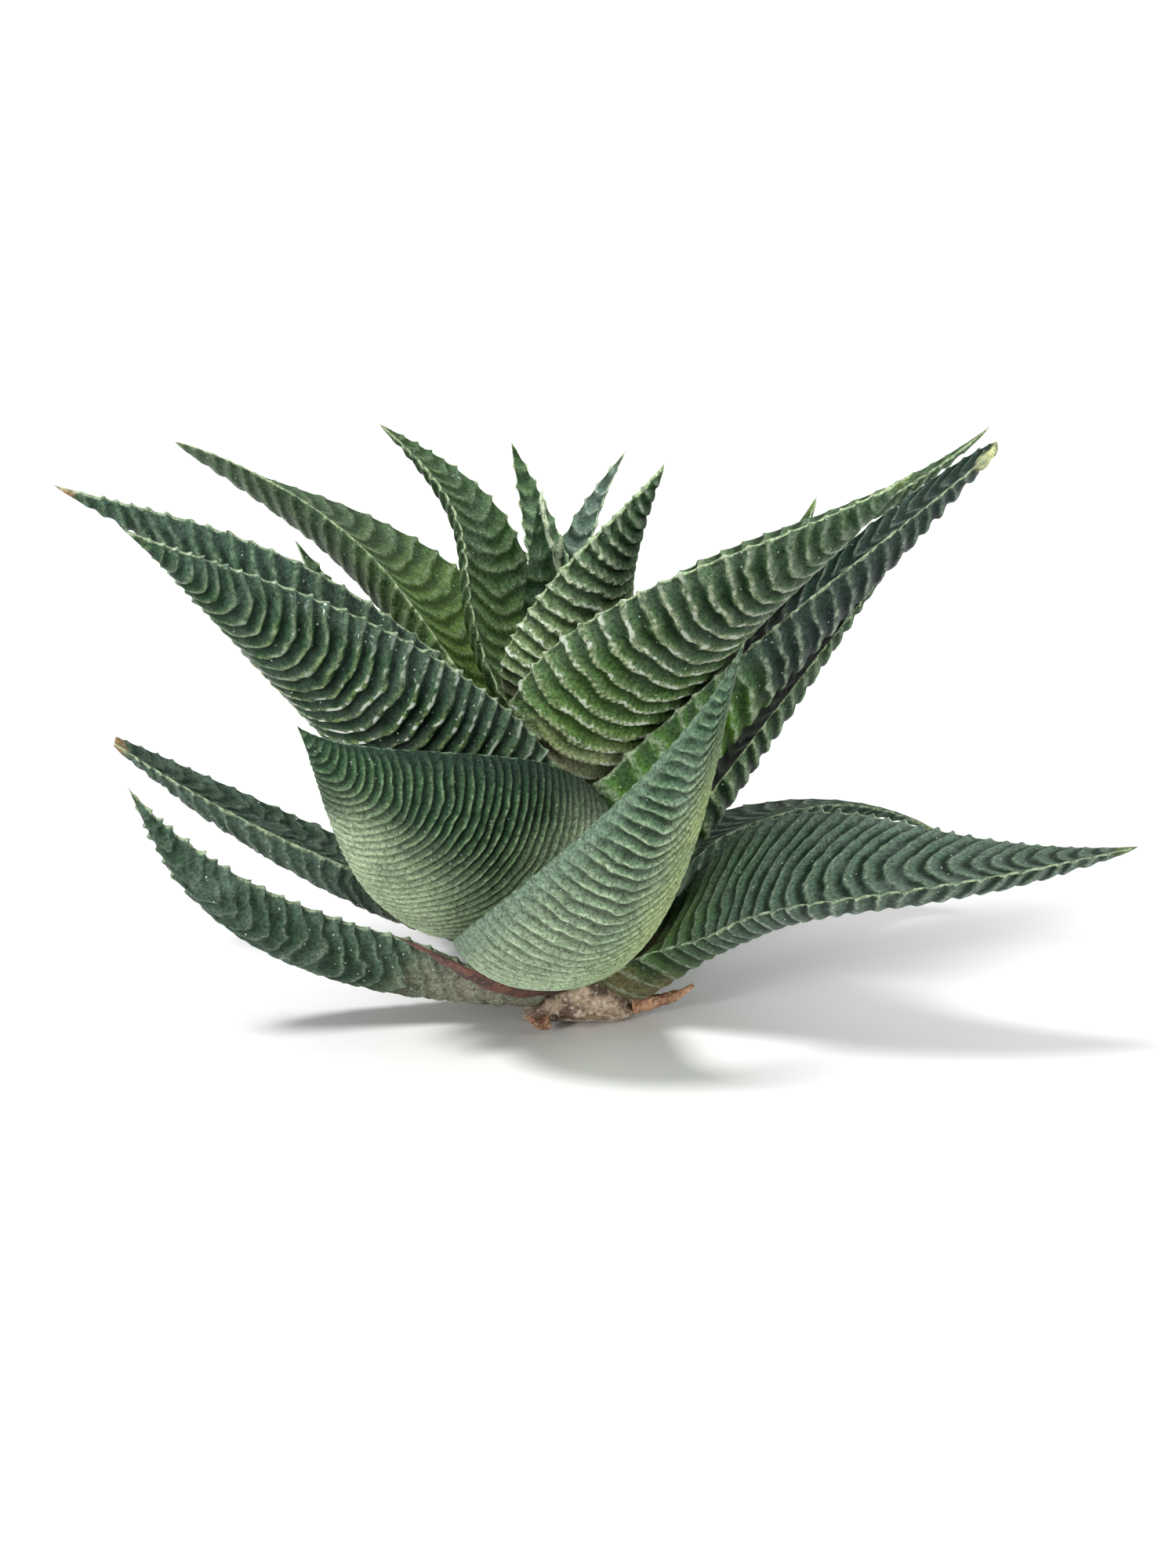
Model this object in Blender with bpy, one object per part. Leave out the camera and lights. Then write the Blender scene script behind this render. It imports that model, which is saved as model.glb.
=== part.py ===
"""A small washboard haworthia, pulled from its pot: a rosette of ridged leaves on a short dry stub.

Blender metres, +Z up. The origin is the middle of the stub's flat underside, where the plant rests. The plant
is small, so its sizes are written in millimetres and MM makes metres of them. An azimuth is a direction seen
from above: 0 is towards -Y, where the photograph was taken from, and 90 is towards +X.
"""

import math
from dataclasses import dataclass

import bmesh
import bpy
from mathutils import Vector

MM = 0.001

# Stem: a column that thins upwards and leans a little to -X, a little to +X of the knobbly dry stub below it.
STEM_HEIGHT = 40.0
STEM_FOOT_RADIUS = 5.0
STEM_TOP_RADIUS = 1.6
STEM_SHIFT = 1.0
STEM_LEAN = -0.07
STEM_SIDES = 14
STUB_PROFILE = ((0.0, 5.6), (0.5, 5.9), (1.0, 5.6), (1.5, 4.8), (3.2, 4.4))
STUB_LUMP = 0.06
STUB_LUMPS_ROUND = 3.0
STUB_TO_STEM = 1.0
STEM_RINGS = 7

# Leaf: how its blade is built. Shares run from 0 at the foot to 1 at the point.
FOOT_GAP = 0.3
FRAME_STEPS = 60
ARC_STEPS = 200
FREE_FROM = 0.35
ROLL_BY = 0.3
MAX_WRAP = 1.9
MIN_REACH = 1.0
LAST_RING = 0.965
SWEEP = 0.055
SWEEP_POWER = 1.6
SWEEP_FROM_FOOT = 0.15
SWEEP_TO_POINT = 0.3
UPPER_ROW = (-1.0, -0.5, 0.0, 0.5, 1.0)
UNDER_ROW = (0.62, 0.0, -0.62)

# Outline and thickness of every leaf, as powers of the share of its length. The foot is broad and clasps
# the stem, and the point is drawn out.
WIDTH_FOOT_SHIFT = 0.08
WIDTH_FOOT_POWER = 0.35
THICKNESS_FOOT_SHIFT = 0.10
THICKNESS_FOOT_POWER = 0.45
THICKNESS_POINT_POWER = 0.80
BACK_SQUARENESS = 2.2
BACK_POWER = 0.75
NEARLY_ONE = 0.999

# Ridges: the rings stand at the skin on a crest and sink below it in a valley.
RIDGE_DEPTH = 0.5
UPPER_RIDGE_DEPTH = 0.22
TOOTH_DEPTH = 0.5
NARROWEST_VALLEY = 0.6
DEEPEST_VALLEY = 0.25
FADE_AT_FOOT = 0.08
FADE_AT_POINT = 0.15

# Roots: bent tubes that thin to a share of their first radius.
ROOT_SIDES = 7
ROOT_STEPS = 6
ROOT_END_SHARE = 0.25


@dataclass(frozen=True)
class Finish:
    """Colour and roughness of one kind of surface."""

    colour: tuple
    roughness: float


DEEP_GREEN = Finish((0.085, 0.125, 0.075), 0.42)
GREY_GREEN = Finish((0.15, 0.19, 0.14), 0.5)
PALE_GREEN = Finish((0.24, 0.31, 0.17), 0.48)
DRY_BROWN = Finish((0.33, 0.22, 0.14), 0.85)
RUST_BROWN = Finish((0.36, 0.19, 0.11), 0.8)


@dataclass(frozen=True)
class Leaf:
    """Driving sizes of one leaf: millimetres and degrees."""

    name: str
    azimuth: float
    seat: float
    rise: float
    point: tuple
    point_azimuth: float
    point_rise: float
    width: float
    thickness: float
    ridges: int
    finish: Finish
    roll: float = 0.0
    twist: float = 0.0
    pull: float = 0.38
    point_pull: float = 0.38
    taper: float = 1.15
    fullness: float = 1.0
    hug: float = 1.0
    cut: float = 1.0
    relief: float = 1.0


@dataclass(frozen=True)
class Root:
    """A dried root: the points it passes, in millimetres, and its radius where it starts."""

    name: str
    path: tuple
    radius: float


ROOTS = (
    Root("dry_root_right", ((6.5, -1.2, 1.7), (9.2, -1.8, 2.2), (11.6, -2.2, 3.0), (13.0, -2.4, 4.3)), 1.1),
    Root("dry_root_left", ((-3.2, -6.2, 1.3), (-3.9, -7.0, 1.2), (-4.6, -7.6, 1.7), (-5.1, -7.9, 2.6)), 0.9),
)

LEAVES = (
    # lowest ring, with the withered sheath between its leaves
    Leaf("leaf_low_left", azimuth=-87, seat=3.8, rise=8, point=(-47, -19, 31.5),
         point_azimuth=-70, point_rise=60, width=10.6, thickness=3.4, ridges=22,
         finish=DEEP_GREEN, roll=30, twist=35, pull=0.5, point_pull=0.3,
         taper=1.2, fullness=1.7, hug=0.8),
    Leaf("dry_sheath", azimuth=-42, seat=5, rise=0, point=(-19, -22, 16),
         point_azimuth=-55, point_rise=26, width=7.5, thickness=1, ridges=6,
         finish=RUST_BROWN, roll=-5, twist=0, pull=0.35, point_pull=0.35,
         taper=1.1, fullness=1, hug=1, relief=0.3),
    Leaf("leaf_low_right", azimuth=76, seat=5.5, rise=46, point=(59, -23, 26),
         point_azimuth=95, point_rise=6, width=16.8, thickness=5.5, ridges=28,
         finish=DEEP_GREEN, roll=35, twist=-55, pull=0.45, point_pull=0.6,
         taper=0.9, fullness=1.8, hug=0.5),
    Leaf("leaf_low_left_upper", azimuth=-107, seat=9.5, rise=13, point=(-53.8, 16, 28.6),
         point_azimuth=-80, point_rise=32, width=9.7, thickness=4.6, ridges=22,
         finish=DEEP_GREEN, roll=5, twist=0, pull=0.35, point_pull=0.4,
         taper=0.78, fullness=2.3, hug=1.3, cut=0.955),
    Leaf("leaf_low_right_behind", azimuth=136, seat=8, rise=70, point=(42.5, 33, 12),
         point_azimuth=55, point_rise=-20, width=14.5, thickness=3.6, ridges=20,
         finish=DEEP_GREEN, roll=-15, twist=20, pull=0.2, point_pull=0.4,
         taper=1.1, fullness=1.2, hug=0.8),
    Leaf("leaf_low_back", azimuth=170, seat=3.8, rise=8, point=(13, 52, 24),
         point_azimuth=170, point_rise=38, width=15, thickness=3.2, ridges=16,
         finish=DEEP_GREEN, roll=10, twist=5, pull=0.4, point_pull=0.4,
         taper=1.05, fullness=1.6, hug=0.7),
    Leaf("leaf_low_back_left", azimuth=-145, seat=5.9, rise=20, point=(-26, 46, 15),
         point_azimuth=-145, point_rise=36, width=12, thickness=2.4, ridges=14,
         finish=DEEP_GREEN, roll=-15, twist=-15, pull=0.4, point_pull=0.35,
         taper=1, fullness=1.7, hug=0.9),
    Leaf("leaf_low_back_right", azimuth=148, seat=6.1, rise=24, point=(35, 36, 11),
         point_azimuth=130, point_rise=26, width=5.5, thickness=3, ridges=14,
         finish=DEEP_GREEN, roll=0, twist=0, pull=0.4, point_pull=0.35,
         taper=1.05, fullness=1.8, hug=1),
    # broad leaves at the front and the outer ones beside and behind them
    Leaf("leaf_front_right", azimuth=-16, seat=8.5, rise=16, point=(17.5, -39, 53),
         point_azimuth=80, point_rise=70, width=19.5, thickness=4, ridges=46,
         finish=PALE_GREEN, roll=15, twist=-40, pull=0.5, point_pull=0.65,
         taper=1.7, fullness=1.8, hug=0.5),
    Leaf("leaf_front_left", azimuth=-19, seat=12, rise=46, point=(-28.6, -26, 39.8),
         point_azimuth=-105, point_rise=48, width=26, thickness=4.8, ridges=42,
         finish=PALE_GREEN, roll=40, twist=-10, pull=0.25, point_pull=0.25,
         taper=1.35, fullness=2.2, hug=0.5),
    Leaf("leaf_right_outer", azimuth=97, seat=12, rise=54, point=(34, 5, 49.5),
         point_azimuth=95, point_rise=46, width=12.4, thickness=3.4, ridges=20,
         finish=GREY_GREEN, roll=5, twist=-5, pull=0.4, point_pull=0.4,
         taper=1.05, fullness=1.8, hug=0.9),
    Leaf("leaf_back_left", azimuth=-135, seat=13, rise=26, point=(-32.5, 35, 46.5),
         point_azimuth=-130, point_rise=44, width=12, thickness=3.4, ridges=16,
         finish=GREY_GREEN, roll=0, twist=0, pull=0.35, point_pull=0.4,
         taper=1.1, fullness=1.5, hug=1),
    Leaf("leaf_back_right", azimuth=163, seat=16, rise=30, point=(28, 38, 51),
         point_azimuth=130, point_rise=54, width=12, thickness=4.6, ridges=16,
         finish=GREY_GREEN, roll=-15, twist=-10, pull=0.4, point_pull=0.4,
         taper=1.05, fullness=1.6, hug=1.1),
    # long leaves of the middle ring
    Leaf("leaf_left_front", azimuth=-59, seat=17.5, rise=48, point=(-46.5, -23, 60),
         point_azimuth=-70, point_rise=34, width=22, thickness=4.4, ridges=34,
         finish=DEEP_GREEN, roll=30, twist=20, pull=0.45, point_pull=0.5,
         taper=1.3, fullness=1.4, hug=0.5),
    Leaf("leaf_left_long", azimuth=-84, seat=22.5, rise=50, point=(-57.5, 12, 57.5),
         point_azimuth=-100, point_rise=18, width=17.8, thickness=4.4, ridges=24,
         finish=DEEP_GREEN, roll=25, twist=0, pull=0.45, point_pull=0.45,
         taper=1.15, fullness=1.5, hug=0.8),
    Leaf("leaf_right_long", azimuth=62, seat=20.5, rise=58, point=(46, -3, 65.4),
         point_azimuth=30, point_rise=28, width=17.6, thickness=5.2, ridges=24,
         finish=DEEP_GREEN, roll=10, twist=20, pull=0.4, point_pull=0.3,
         taper=0.85, fullness=1.4, hug=0.8, cut=0.955),
    Leaf("leaf_back_middle", azimuth=-164, seat=19.5, rise=44, point=(-1, 44, 40),
         point_azimuth=180, point_rise=44, width=9.5, thickness=4, ridges=14,
         finish=GREY_GREEN, roll=-5, twist=0, pull=0.4, point_pull=0.4,
         taper=1.1, fullness=1.4, hug=1),
    # upper ring
    Leaf("leaf_right_front", azimuth=32, seat=26, rise=64, point=(35, -21, 65.5),
         point_azimuth=75, point_rise=40, width=23.5, thickness=3.8, ridges=25,
         finish=GREY_GREEN, roll=-5, twist=10, pull=0.45, point_pull=0.35,
         taper=1.25, fullness=1.3, hug=0.7),
    Leaf("leaf_right_top", azimuth=92, seat=30, rise=64, point=(46.8, 25, 61.7),
         point_azimuth=110, point_rise=34, width=15.4, thickness=3.2, ridges=22,
         finish=GREY_GREEN, roll=25, twist=-20, pull=0.5, point_pull=0.4,
         taper=1.1, fullness=1, hug=0.8),
    Leaf("leaf_left_top", azimuth=-132, seat=27.5, rise=46, point=(-45, 23, 60.2),
         point_azimuth=-100, point_rise=20, width=17.9, thickness=4.8, ridges=22,
         finish=GREY_GREEN, roll=0, twist=40, pull=0.45, point_pull=0.5,
         taper=0.65, fullness=1.9, hug=0.9),
    # crown and heart
    Leaf("leaf_crown_left", azimuth=-140, seat=33.5, rise=38, point=(-22, 22, 62.5),
         point_azimuth=-115, point_rise=26, width=11.5, thickness=3.8, ridges=18,
         finish=GREY_GREEN, roll=10, twist=10, pull=0.5, point_pull=0.6,
         taper=1.1, fullness=1.4, hug=0.5),
    Leaf("leaf_crown_front", azimuth=29, seat=35, rise=74, point=(9.5, -9, 64),
         point_azimuth=85, point_rise=54, width=17.5, thickness=4, ridges=19,
         finish=GREY_GREEN, roll=5, twist=25, pull=0.4, point_pull=0.55,
         taper=1.25, fullness=1.1, hug=0.5),
    Leaf("leaf_crown_back", azimuth=182, seat=39, rise=78, point=(-7.2, 24, 60),
         point_azimuth=-105, point_rise=70, width=4.6, thickness=2.4, ridges=10,
         finish=GREY_GREEN, roll=5, twist=0, pull=0.35, point_pull=0.35,
         taper=0.9, fullness=1.9, hug=1, relief=0.6),
    Leaf("leaf_crown_right", azimuth=160, seat=35.5, rise=72, point=(5.8, 25, 58.9),
         point_azimuth=110, point_rise=52, width=5.2, thickness=2.6, ridges=12,
         finish=GREY_GREEN, roll=5, twist=10, pull=0.35, point_pull=0.5,
         taper=1.1, fullness=1.4, hug=1, relief=0.6),
    Leaf("leaf_heart_left", azimuth=-85, seat=39, rise=90, point=(-3.5, 0, 59.5),
         point_azimuth=-90, point_rise=86, width=4.5, thickness=2.2, ridges=8,
         finish=GREY_GREEN, roll=15, twist=5, pull=0.4, point_pull=0.4,
         taper=1.1, fullness=1.2, hug=1, relief=0.6),
    Leaf("leaf_heart_right", azimuth=85, seat=39, rise=86, point=(-1.5, 3, 54),
         point_azimuth=90, point_rise=74, width=4.5, thickness=2, ridges=6,
         finish=GREY_GREEN, roll=-5, twist=-5, pull=0.4, point_pull=0.4,
         taper=1.15, fullness=1, hug=1, relief=0.6),
)


def smooth(share):
    """Ease from 0 to 1."""
    share = min(max(share, 0.0), 1.0)
    return share * share * (3.0 - 2.0 * share)


def heading(azimuth, rise):
    """Unit vector that looks along an azimuth and a slope, in degrees."""
    around = math.radians(azimuth)
    up = math.radians(rise)
    return Vector((math.sin(around) * math.cos(up), -math.cos(around) * math.cos(up), math.sin(up)))


def bezier(controls, s):
    """Point of a cubic curve at its own parameter s."""
    a, b, c, d = controls
    r = 1.0 - s
    return a * r ** 3 + b * (3.0 * r * r * s) + c * (3.0 * r * s * s) + d * s ** 3


def bezier_slope(controls, s):
    """Direction of a cubic curve at its own parameter s."""
    a, b, c, d = controls
    r = 1.0 - s
    return ((b - a) * (r * r) + (c - b) * (2.0 * r * s) + (d - c) * (s * s)).normalized()


def stem_axis(height):
    """Middle of the stem at a height."""
    return Vector((STEM_SHIFT + STEM_LEAN * height, 0.0, height))


def stem_radius(height):
    """Radius of the stem at a height."""
    share = min(max(height / STEM_HEIGHT, 0.0), 1.0)
    return STEM_FOOT_RADIUS + (STEM_TOP_RADIUS - STEM_FOOT_RADIUS) * share


def width_share(t, taper, fullness):
    """Half width along the leaf as a share of its widest, broad at the foot and drawn out to the point."""
    t = min(t, NEARLY_ONE)
    return (t + WIDTH_FOOT_SHIFT) ** WIDTH_FOOT_POWER * (1.0 - t ** fullness) ** taper


def thickness_share(t):
    """Thickness along the leaf, before it is scaled to its thickest."""
    t = min(t, NEARLY_ONE)
    return (t + THICKNESS_FOOT_SHIFT) ** THICKNESS_FOOT_POWER * (1.0 - t) ** THICKNESS_POINT_POWER


THICKEST = max(thickness_share(i / ARC_STEPS) for i in range(ARC_STEPS))


def back_bulge(u):
    """Depth of the leaf's rounded back at u across the blade, as a share of its thickness."""
    return (1.0 - min(abs(u), 1.0) ** BACK_SQUARENESS) ** BACK_POWER


class Blade:
    """One leaf's centre line, its frames and the points of its skin."""

    def __init__(self, leaf):
        self.leaf = leaf
        self.widest = max(width_share(i / ARC_STEPS, leaf.taper, leaf.fullness) for i in range(ARC_STEPS))
        foot = stem_axis(leaf.seat) + heading(leaf.azimuth, 0.0) * (stem_radius(leaf.seat) + FOOT_GAP)
        point = Vector(leaf.point)
        chord = (point - foot).length
        rising = foot + heading(leaf.azimuth, leaf.rise) * leaf.pull * chord
        arriving = point - heading(leaf.point_azimuth, leaf.point_rise) * leaf.point_pull * chord
        self.controls = (foot, rising, arriving, point)
        self.build_frames()

    def build_frames(self):
        """Centres, directions and sides at even shares of the leaf's length."""
        points = [bezier(self.controls, i / ARC_STEPS) for i in range(ARC_STEPS + 1)]
        lengths = [0.0]
        for before, after in zip(points, points[1:]):
            lengths.append(lengths[-1] + (after - before).length)
        around = math.radians(self.leaf.azimuth)
        side = Vector((math.cos(around), math.sin(around), 0.0))
        self.centres, self.slopes, self.sides = [], [], []
        step = 0
        for i in range(FRAME_STEPS + 1):
            share = i / FRAME_STEPS
            wanted = share * lengths[-1]
            while step < ARC_STEPS - 1 and lengths[step + 1] < wanted:
                step += 1
            s = (step + (wanted - lengths[step]) / (lengths[step + 1] - lengths[step])) / ARC_STEPS
            slope = bezier_slope(self.controls, s)
            side = (side - slope * side.dot(slope)).normalized()
            turn = math.radians(self.leaf.roll * smooth(share / ROLL_BY) + self.leaf.twist * share)
            self.centres.append(bezier(self.controls, s))
            self.slopes.append(slope)
            self.sides.append(side * math.cos(turn) + slope.cross(side) * math.sin(turn))

    def frame(self, t):
        """Centre, side and upward normal at the share t."""
        place = min(max(t, 0.0), 1.0) * FRAME_STEPS
        i = min(int(place), FRAME_STEPS - 1)
        part = place - i
        centre = self.centres[i].lerp(self.centres[i + 1], part)
        slope = self.slopes[i].lerp(self.slopes[i + 1], part).normalized()
        side = self.sides[i].lerp(self.sides[i + 1], part)
        side = (side - slope * side.dot(slope)).normalized()
        return centre, side, slope.cross(side)

    def skin(self, t, u, back, valley):
        """Skin at t along and u across, on the upper face or the back, sunk by a ridge's share valley."""
        leaf = self.leaf
        half = leaf.width / 2.0 * width_share(t, leaf.taper, leaf.fullness) / self.widest
        half = max(half - TOOTH_DEPTH * valley, half * NARROWEST_VALLEY)
        centre, side, normal = self.frame(t)
        outward = centre - stem_axis(centre.z)
        reach = max(outward.length, MIN_REACH)
        outward.normalize()
        bend = leaf.hug / reach
        free = smooth(t / FREE_FROM)
        fold = normal * free - outward * (1.0 - free)
        fold = (fold - side * fold.dot(side)).normalized()
        angle = min(max(u * half * bend, -MAX_WRAP), MAX_WRAP)
        place = centre + side * (math.sin(angle) / bend) + fold * ((1.0 - math.cos(angle)) / bend)
        facing = normal * math.cos(free * angle) - side * math.sin(free * angle)
        bulge = back_bulge(u)
        if back:
            depth = leaf.thickness * thickness_share(t) / THICKEST
            sunk = min(RIDGE_DEPTH * valley, depth * DEEPEST_VALLEY)
            return place - facing * ((depth - sunk) * bulge)
        return place - facing * (UPPER_RIDGE_DEPTH * valley * bulge)

    def ring(self, t, valley):
        """One closed ring of the skin, its margins swept towards the point as the ridges are."""
        sweep = SWEEP * smooth(t / SWEEP_FROM_FOOT) * smooth((1.0 - t) / SWEEP_TO_POINT)
        points = [self.skin(t + sweep * abs(u) ** SWEEP_POWER, u, False, valley) for u in UPPER_ROW]
        points += [self.skin(t + sweep * abs(u) ** SWEEP_POWER, u, True, valley) for u in UNDER_ROW]
        return points


def clear_scene():
    """Remove what the opened file holds."""
    for thing in list(bpy.data.objects):
        bpy.data.objects.remove(thing, do_unlink=True)


def make_material(name, finish):
    """A Principled material of its own for one object."""
    material = bpy.data.materials.new(name)
    material.use_nodes = True
    shader = material.node_tree.nodes["Principled BSDF"]
    shader.inputs["Base Color"].default_value = (*finish.colour, 1.0)
    shader.inputs["Roughness"].default_value = finish.roughness
    shader.inputs["Metallic"].default_value = 0.0
    material.diffuse_color = (*finish.colour, 1.0)
    return material


def add_ring(mesh, points):
    """Vertices of one ring, from millimetres."""
    return [mesh.verts.new(point * MM) for point in points]


def join_rings(mesh, lower, upper):
    """Band of faces between two rings of as many points."""
    count = len(lower)
    for i in range(count):
        j = (i + 1) % count
        mesh.faces.new((lower[i], lower[j], upper[j], upper[i]))


def close_crescent(mesh, ring):
    """Close a leaf's cut end face by face between its upper and its back row."""
    a, b, c, d, e, f, g, h = ring
    for face in ((a, b, h), (b, c, g, h), (c, d, f, g), (d, e, f)):
        mesh.faces.new(face)


def close_point(mesh, ring, tip):
    """Close a ring on one point."""
    count = len(ring)
    for i in range(count):
        mesh.faces.new((ring[i], ring[(i + 1) % count], tip))


def finish_object(name, mesh, finish):
    """Turn a closed bmesh into a named object whose faces point out."""
    bmesh.ops.triangulate(mesh, faces=mesh.faces[:])
    bmesh.ops.recalc_face_normals(mesh, faces=mesh.faces[:])
    data = bpy.data.meshes.new(name)
    mesh.to_mesh(data)
    mesh.free()
    data.materials.append(make_material(name, finish))
    thing = bpy.data.objects.new(name, data)
    bpy.context.scene.collection.objects.link(thing)
    return thing


def make_leaf(leaf):
    """One leaf: a ring on each crest and in each valley, closed at the foot and the point."""
    blade = Blade(leaf)
    mesh = bmesh.new()
    last = min(LAST_RING, leaf.cut)
    steps = 2 * leaf.ridges
    rings = []
    for i in range(steps + 1):
        t = last * i / steps
        fade = smooth(t / FADE_AT_FOOT) * smooth((1.0 - t) / FADE_AT_POINT)
        valley = fade * leaf.relief if i % 2 == 0 else 0.0
        rings.append(add_ring(mesh, blade.ring(t, valley)))
    for lower, upper in zip(rings, rings[1:]):
        join_rings(mesh, lower, upper)
    close_crescent(mesh, rings[0])
    if leaf.cut < 1.0:
        close_crescent(mesh, rings[-1])
    else:
        close_point(mesh, rings[-1], mesh.verts.new(blade.controls[3] * MM))
    return finish_object(leaf.name, mesh, leaf.finish)


def make_stem():
    """The stem on its knobbly stub: round rings about a leaning axis, flat at both ends."""
    profile = list(STUB_PROFILE)
    start = profile[-1][0] + STUB_TO_STEM
    for i in range(STEM_RINGS):
        height = start + (STEM_HEIGHT - start) * i / (STEM_RINGS - 1)
        profile.append((height, stem_radius(height) - FOOT_GAP / 2.0))
    mesh = bmesh.new()
    rings = []
    for height, radius in profile:
        knobs = STUB_LUMP if height < start else 0.0
        centre = stem_axis(height)
        centre.x *= min(height / start, 1.0)
        points = []
        for i in range(STEM_SIDES):
            around = math.tau * i / STEM_SIDES
            grown = radius * (1.0 + knobs * math.sin(STUB_LUMPS_ROUND * around + height))
            points.append(centre + Vector((math.cos(around), math.sin(around), 0.0)) * grown)
        rings.append(add_ring(mesh, points))
    for lower, upper in zip(rings, rings[1:]):
        join_rings(mesh, lower, upper)
    mesh.faces.new(rings[0])
    mesh.faces.new(rings[-1])
    return finish_object("stem", mesh, DRY_BROWN)


def make_root(root):
    """A short bent root that thins to its end."""
    controls = [Vector(point) for point in root.path]
    mesh = bmesh.new()
    rings = []
    for i in range(ROOT_STEPS + 1):
        s = i / ROOT_STEPS
        ahead = bezier_slope(controls, s)
        side = ahead.cross(Vector((0.0, 0.0, 1.0))).normalized()
        rise = side.cross(ahead)
        radius = root.radius * (1.0 + (ROOT_END_SHARE - 1.0) * s)
        points = []
        for k in range(ROOT_SIDES):
            around = math.tau * k / ROOT_SIDES
            points.append(bezier(controls, s) + (side * math.cos(around) + rise * math.sin(around)) * radius)
        rings.append(add_ring(mesh, points))
    for lower, upper in zip(rings, rings[1:]):
        join_rings(mesh, lower, upper)
    mesh.faces.new(rings[0])
    mesh.faces.new(rings[-1])
    return finish_object(root.name, mesh, RUST_BROWN)


def main():
    """Build the plant from its stem outwards."""
    clear_scene()
    make_stem()
    for root in ROOTS:
        make_root(root)
    for leaf in LEAVES:
        make_leaf(leaf)


main()
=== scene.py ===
"""Looks of a small washboard haworthia, pulled from its pot: finely ridged leaves around a short dry stub.

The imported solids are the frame. Each leaf is a flat sheet wrapped around the same blade as its solid, with
the ridges and teeth of the real leaf. Its beads and pale lines are in its material. Sizes are in
millimetres and MM makes metres of them. An azimuth is a direction seen from above: 0 is towards -Y, where
the camera is, and 90 is towards +X. Shares run from 0 at a leaf's foot to 1 at its point.
"""

import logging
import math
from dataclasses import dataclass, field, replace
from enum import Enum
from functools import partial, reduce
from typing import Optional, Sequence, Union

import bpy
import numpy as np
from bpy.types import Material, Node, NodeSocket as Socket, NodeTree, Object
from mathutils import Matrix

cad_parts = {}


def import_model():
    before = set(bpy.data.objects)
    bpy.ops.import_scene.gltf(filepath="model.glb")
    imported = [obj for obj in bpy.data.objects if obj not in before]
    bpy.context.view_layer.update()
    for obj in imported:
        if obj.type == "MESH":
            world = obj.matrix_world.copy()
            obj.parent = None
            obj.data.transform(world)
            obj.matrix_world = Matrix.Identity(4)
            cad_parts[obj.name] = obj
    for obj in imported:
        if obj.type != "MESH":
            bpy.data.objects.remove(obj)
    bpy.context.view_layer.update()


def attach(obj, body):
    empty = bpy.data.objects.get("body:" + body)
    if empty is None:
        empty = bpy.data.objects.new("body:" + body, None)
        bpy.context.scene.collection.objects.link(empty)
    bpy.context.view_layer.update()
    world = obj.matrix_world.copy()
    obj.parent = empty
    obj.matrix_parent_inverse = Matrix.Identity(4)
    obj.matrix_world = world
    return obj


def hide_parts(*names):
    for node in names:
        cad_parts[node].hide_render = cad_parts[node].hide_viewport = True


LOG = logging.getLogger("haworthia")

MM = 0.001
BODY = "root"
STEEP = 0.34  # share of a ridge's breadth that its steep side takes, which faces the leaf's foot

Colour = tuple[int, int, int]  # a screen colour, whose parts run from 0 to 255
Value = Union[float, Socket]
Tint = Union[Colour, Socket]
Given = Union[Value, Tint]
Array = np.ndarray
Share = Union[float, Array]


def linear(colour: Colour) -> list[float]:
    """Linear light of a screen colour, and full opacity."""
    parts = [part / 255.0 for part in colour]
    return [p / 12.92 if p <= 0.04045 else ((p + 0.055) / 1.055) ** 2.4 for p in parts] + [1.0]


def smooth(share: Array) -> Array:
    """Ease from 0 to 1."""
    share = np.clip(share, 0.0, 1.0)
    return share * share * (3.0 - 2.0 * share)


def unit(vectors: Array) -> Array:
    """Vectors brought to length 1."""
    return vectors / np.maximum(np.linalg.norm(vectors, axis=-1, keepdims=True), 1e-9)


def square(vectors: Array, ahead: Array) -> Array:
    """Vectors turned square to others and brought to length 1."""
    return unit(vectors - ahead * (vectors * ahead).sum(1, keepdims=True))


def heading(azimuth: float, rise: float) -> Array:
    """Unit vector that looks along an azimuth and a slope, in degrees."""
    around, up = math.radians(azimuth), math.radians(rise)
    return np.array((math.sin(around) * math.cos(up), -math.cos(around) * math.cos(up), math.sin(up)))


def read_off(at: Array, known: Array, rows: Array) -> Array:
    """Rows that are known at some positions, read off at others."""
    return np.stack([np.interp(at, known, column) for column in rows.T], axis=1)


def curve(points: Sequence[Array], shares: Array) -> tuple[Array, Array]:
    """A curve that leaves its first point towards the second and comes to the last from the third.

    Args:
        points: The four points.
        shares: Shares along the curve.

    Returns:
        Its places and its directions, one row for each share.
    """
    a, b, c, d = points
    s = shares[:, None]
    r = 1.0 - s
    line = a * r**3 + b * 3 * r * r * s + c * 3 * r * s * s + d * s**3
    return line, unit((b - a) * r * r + (c - b) * 2 * r * s + (d - c) * s * s)


class Slot(Enum):
    """Material slots, whose names are logged with each piece."""

    LEAF_DEEP = "leaf_deep"
    LEAF_GREY = "leaf_grey"
    LEAF_PALE = "leaf_pale"
    DRY_STEM = "dry_stem"
    DRY_FIBRE = "dry_fibre"


class Mark(Enum):
    """Numbers that a leaf's mesh carries at each vertex for its material."""

    RIDGE = "ridge_count"
    ALONG = "share_along"
    RIM = "rim_distance"
    UPPER_SIDE = "upper_side"
    BACK = "back_face"
    BEADS = "bead_share"
    BEAD_TURN = "bead_turn"


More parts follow.
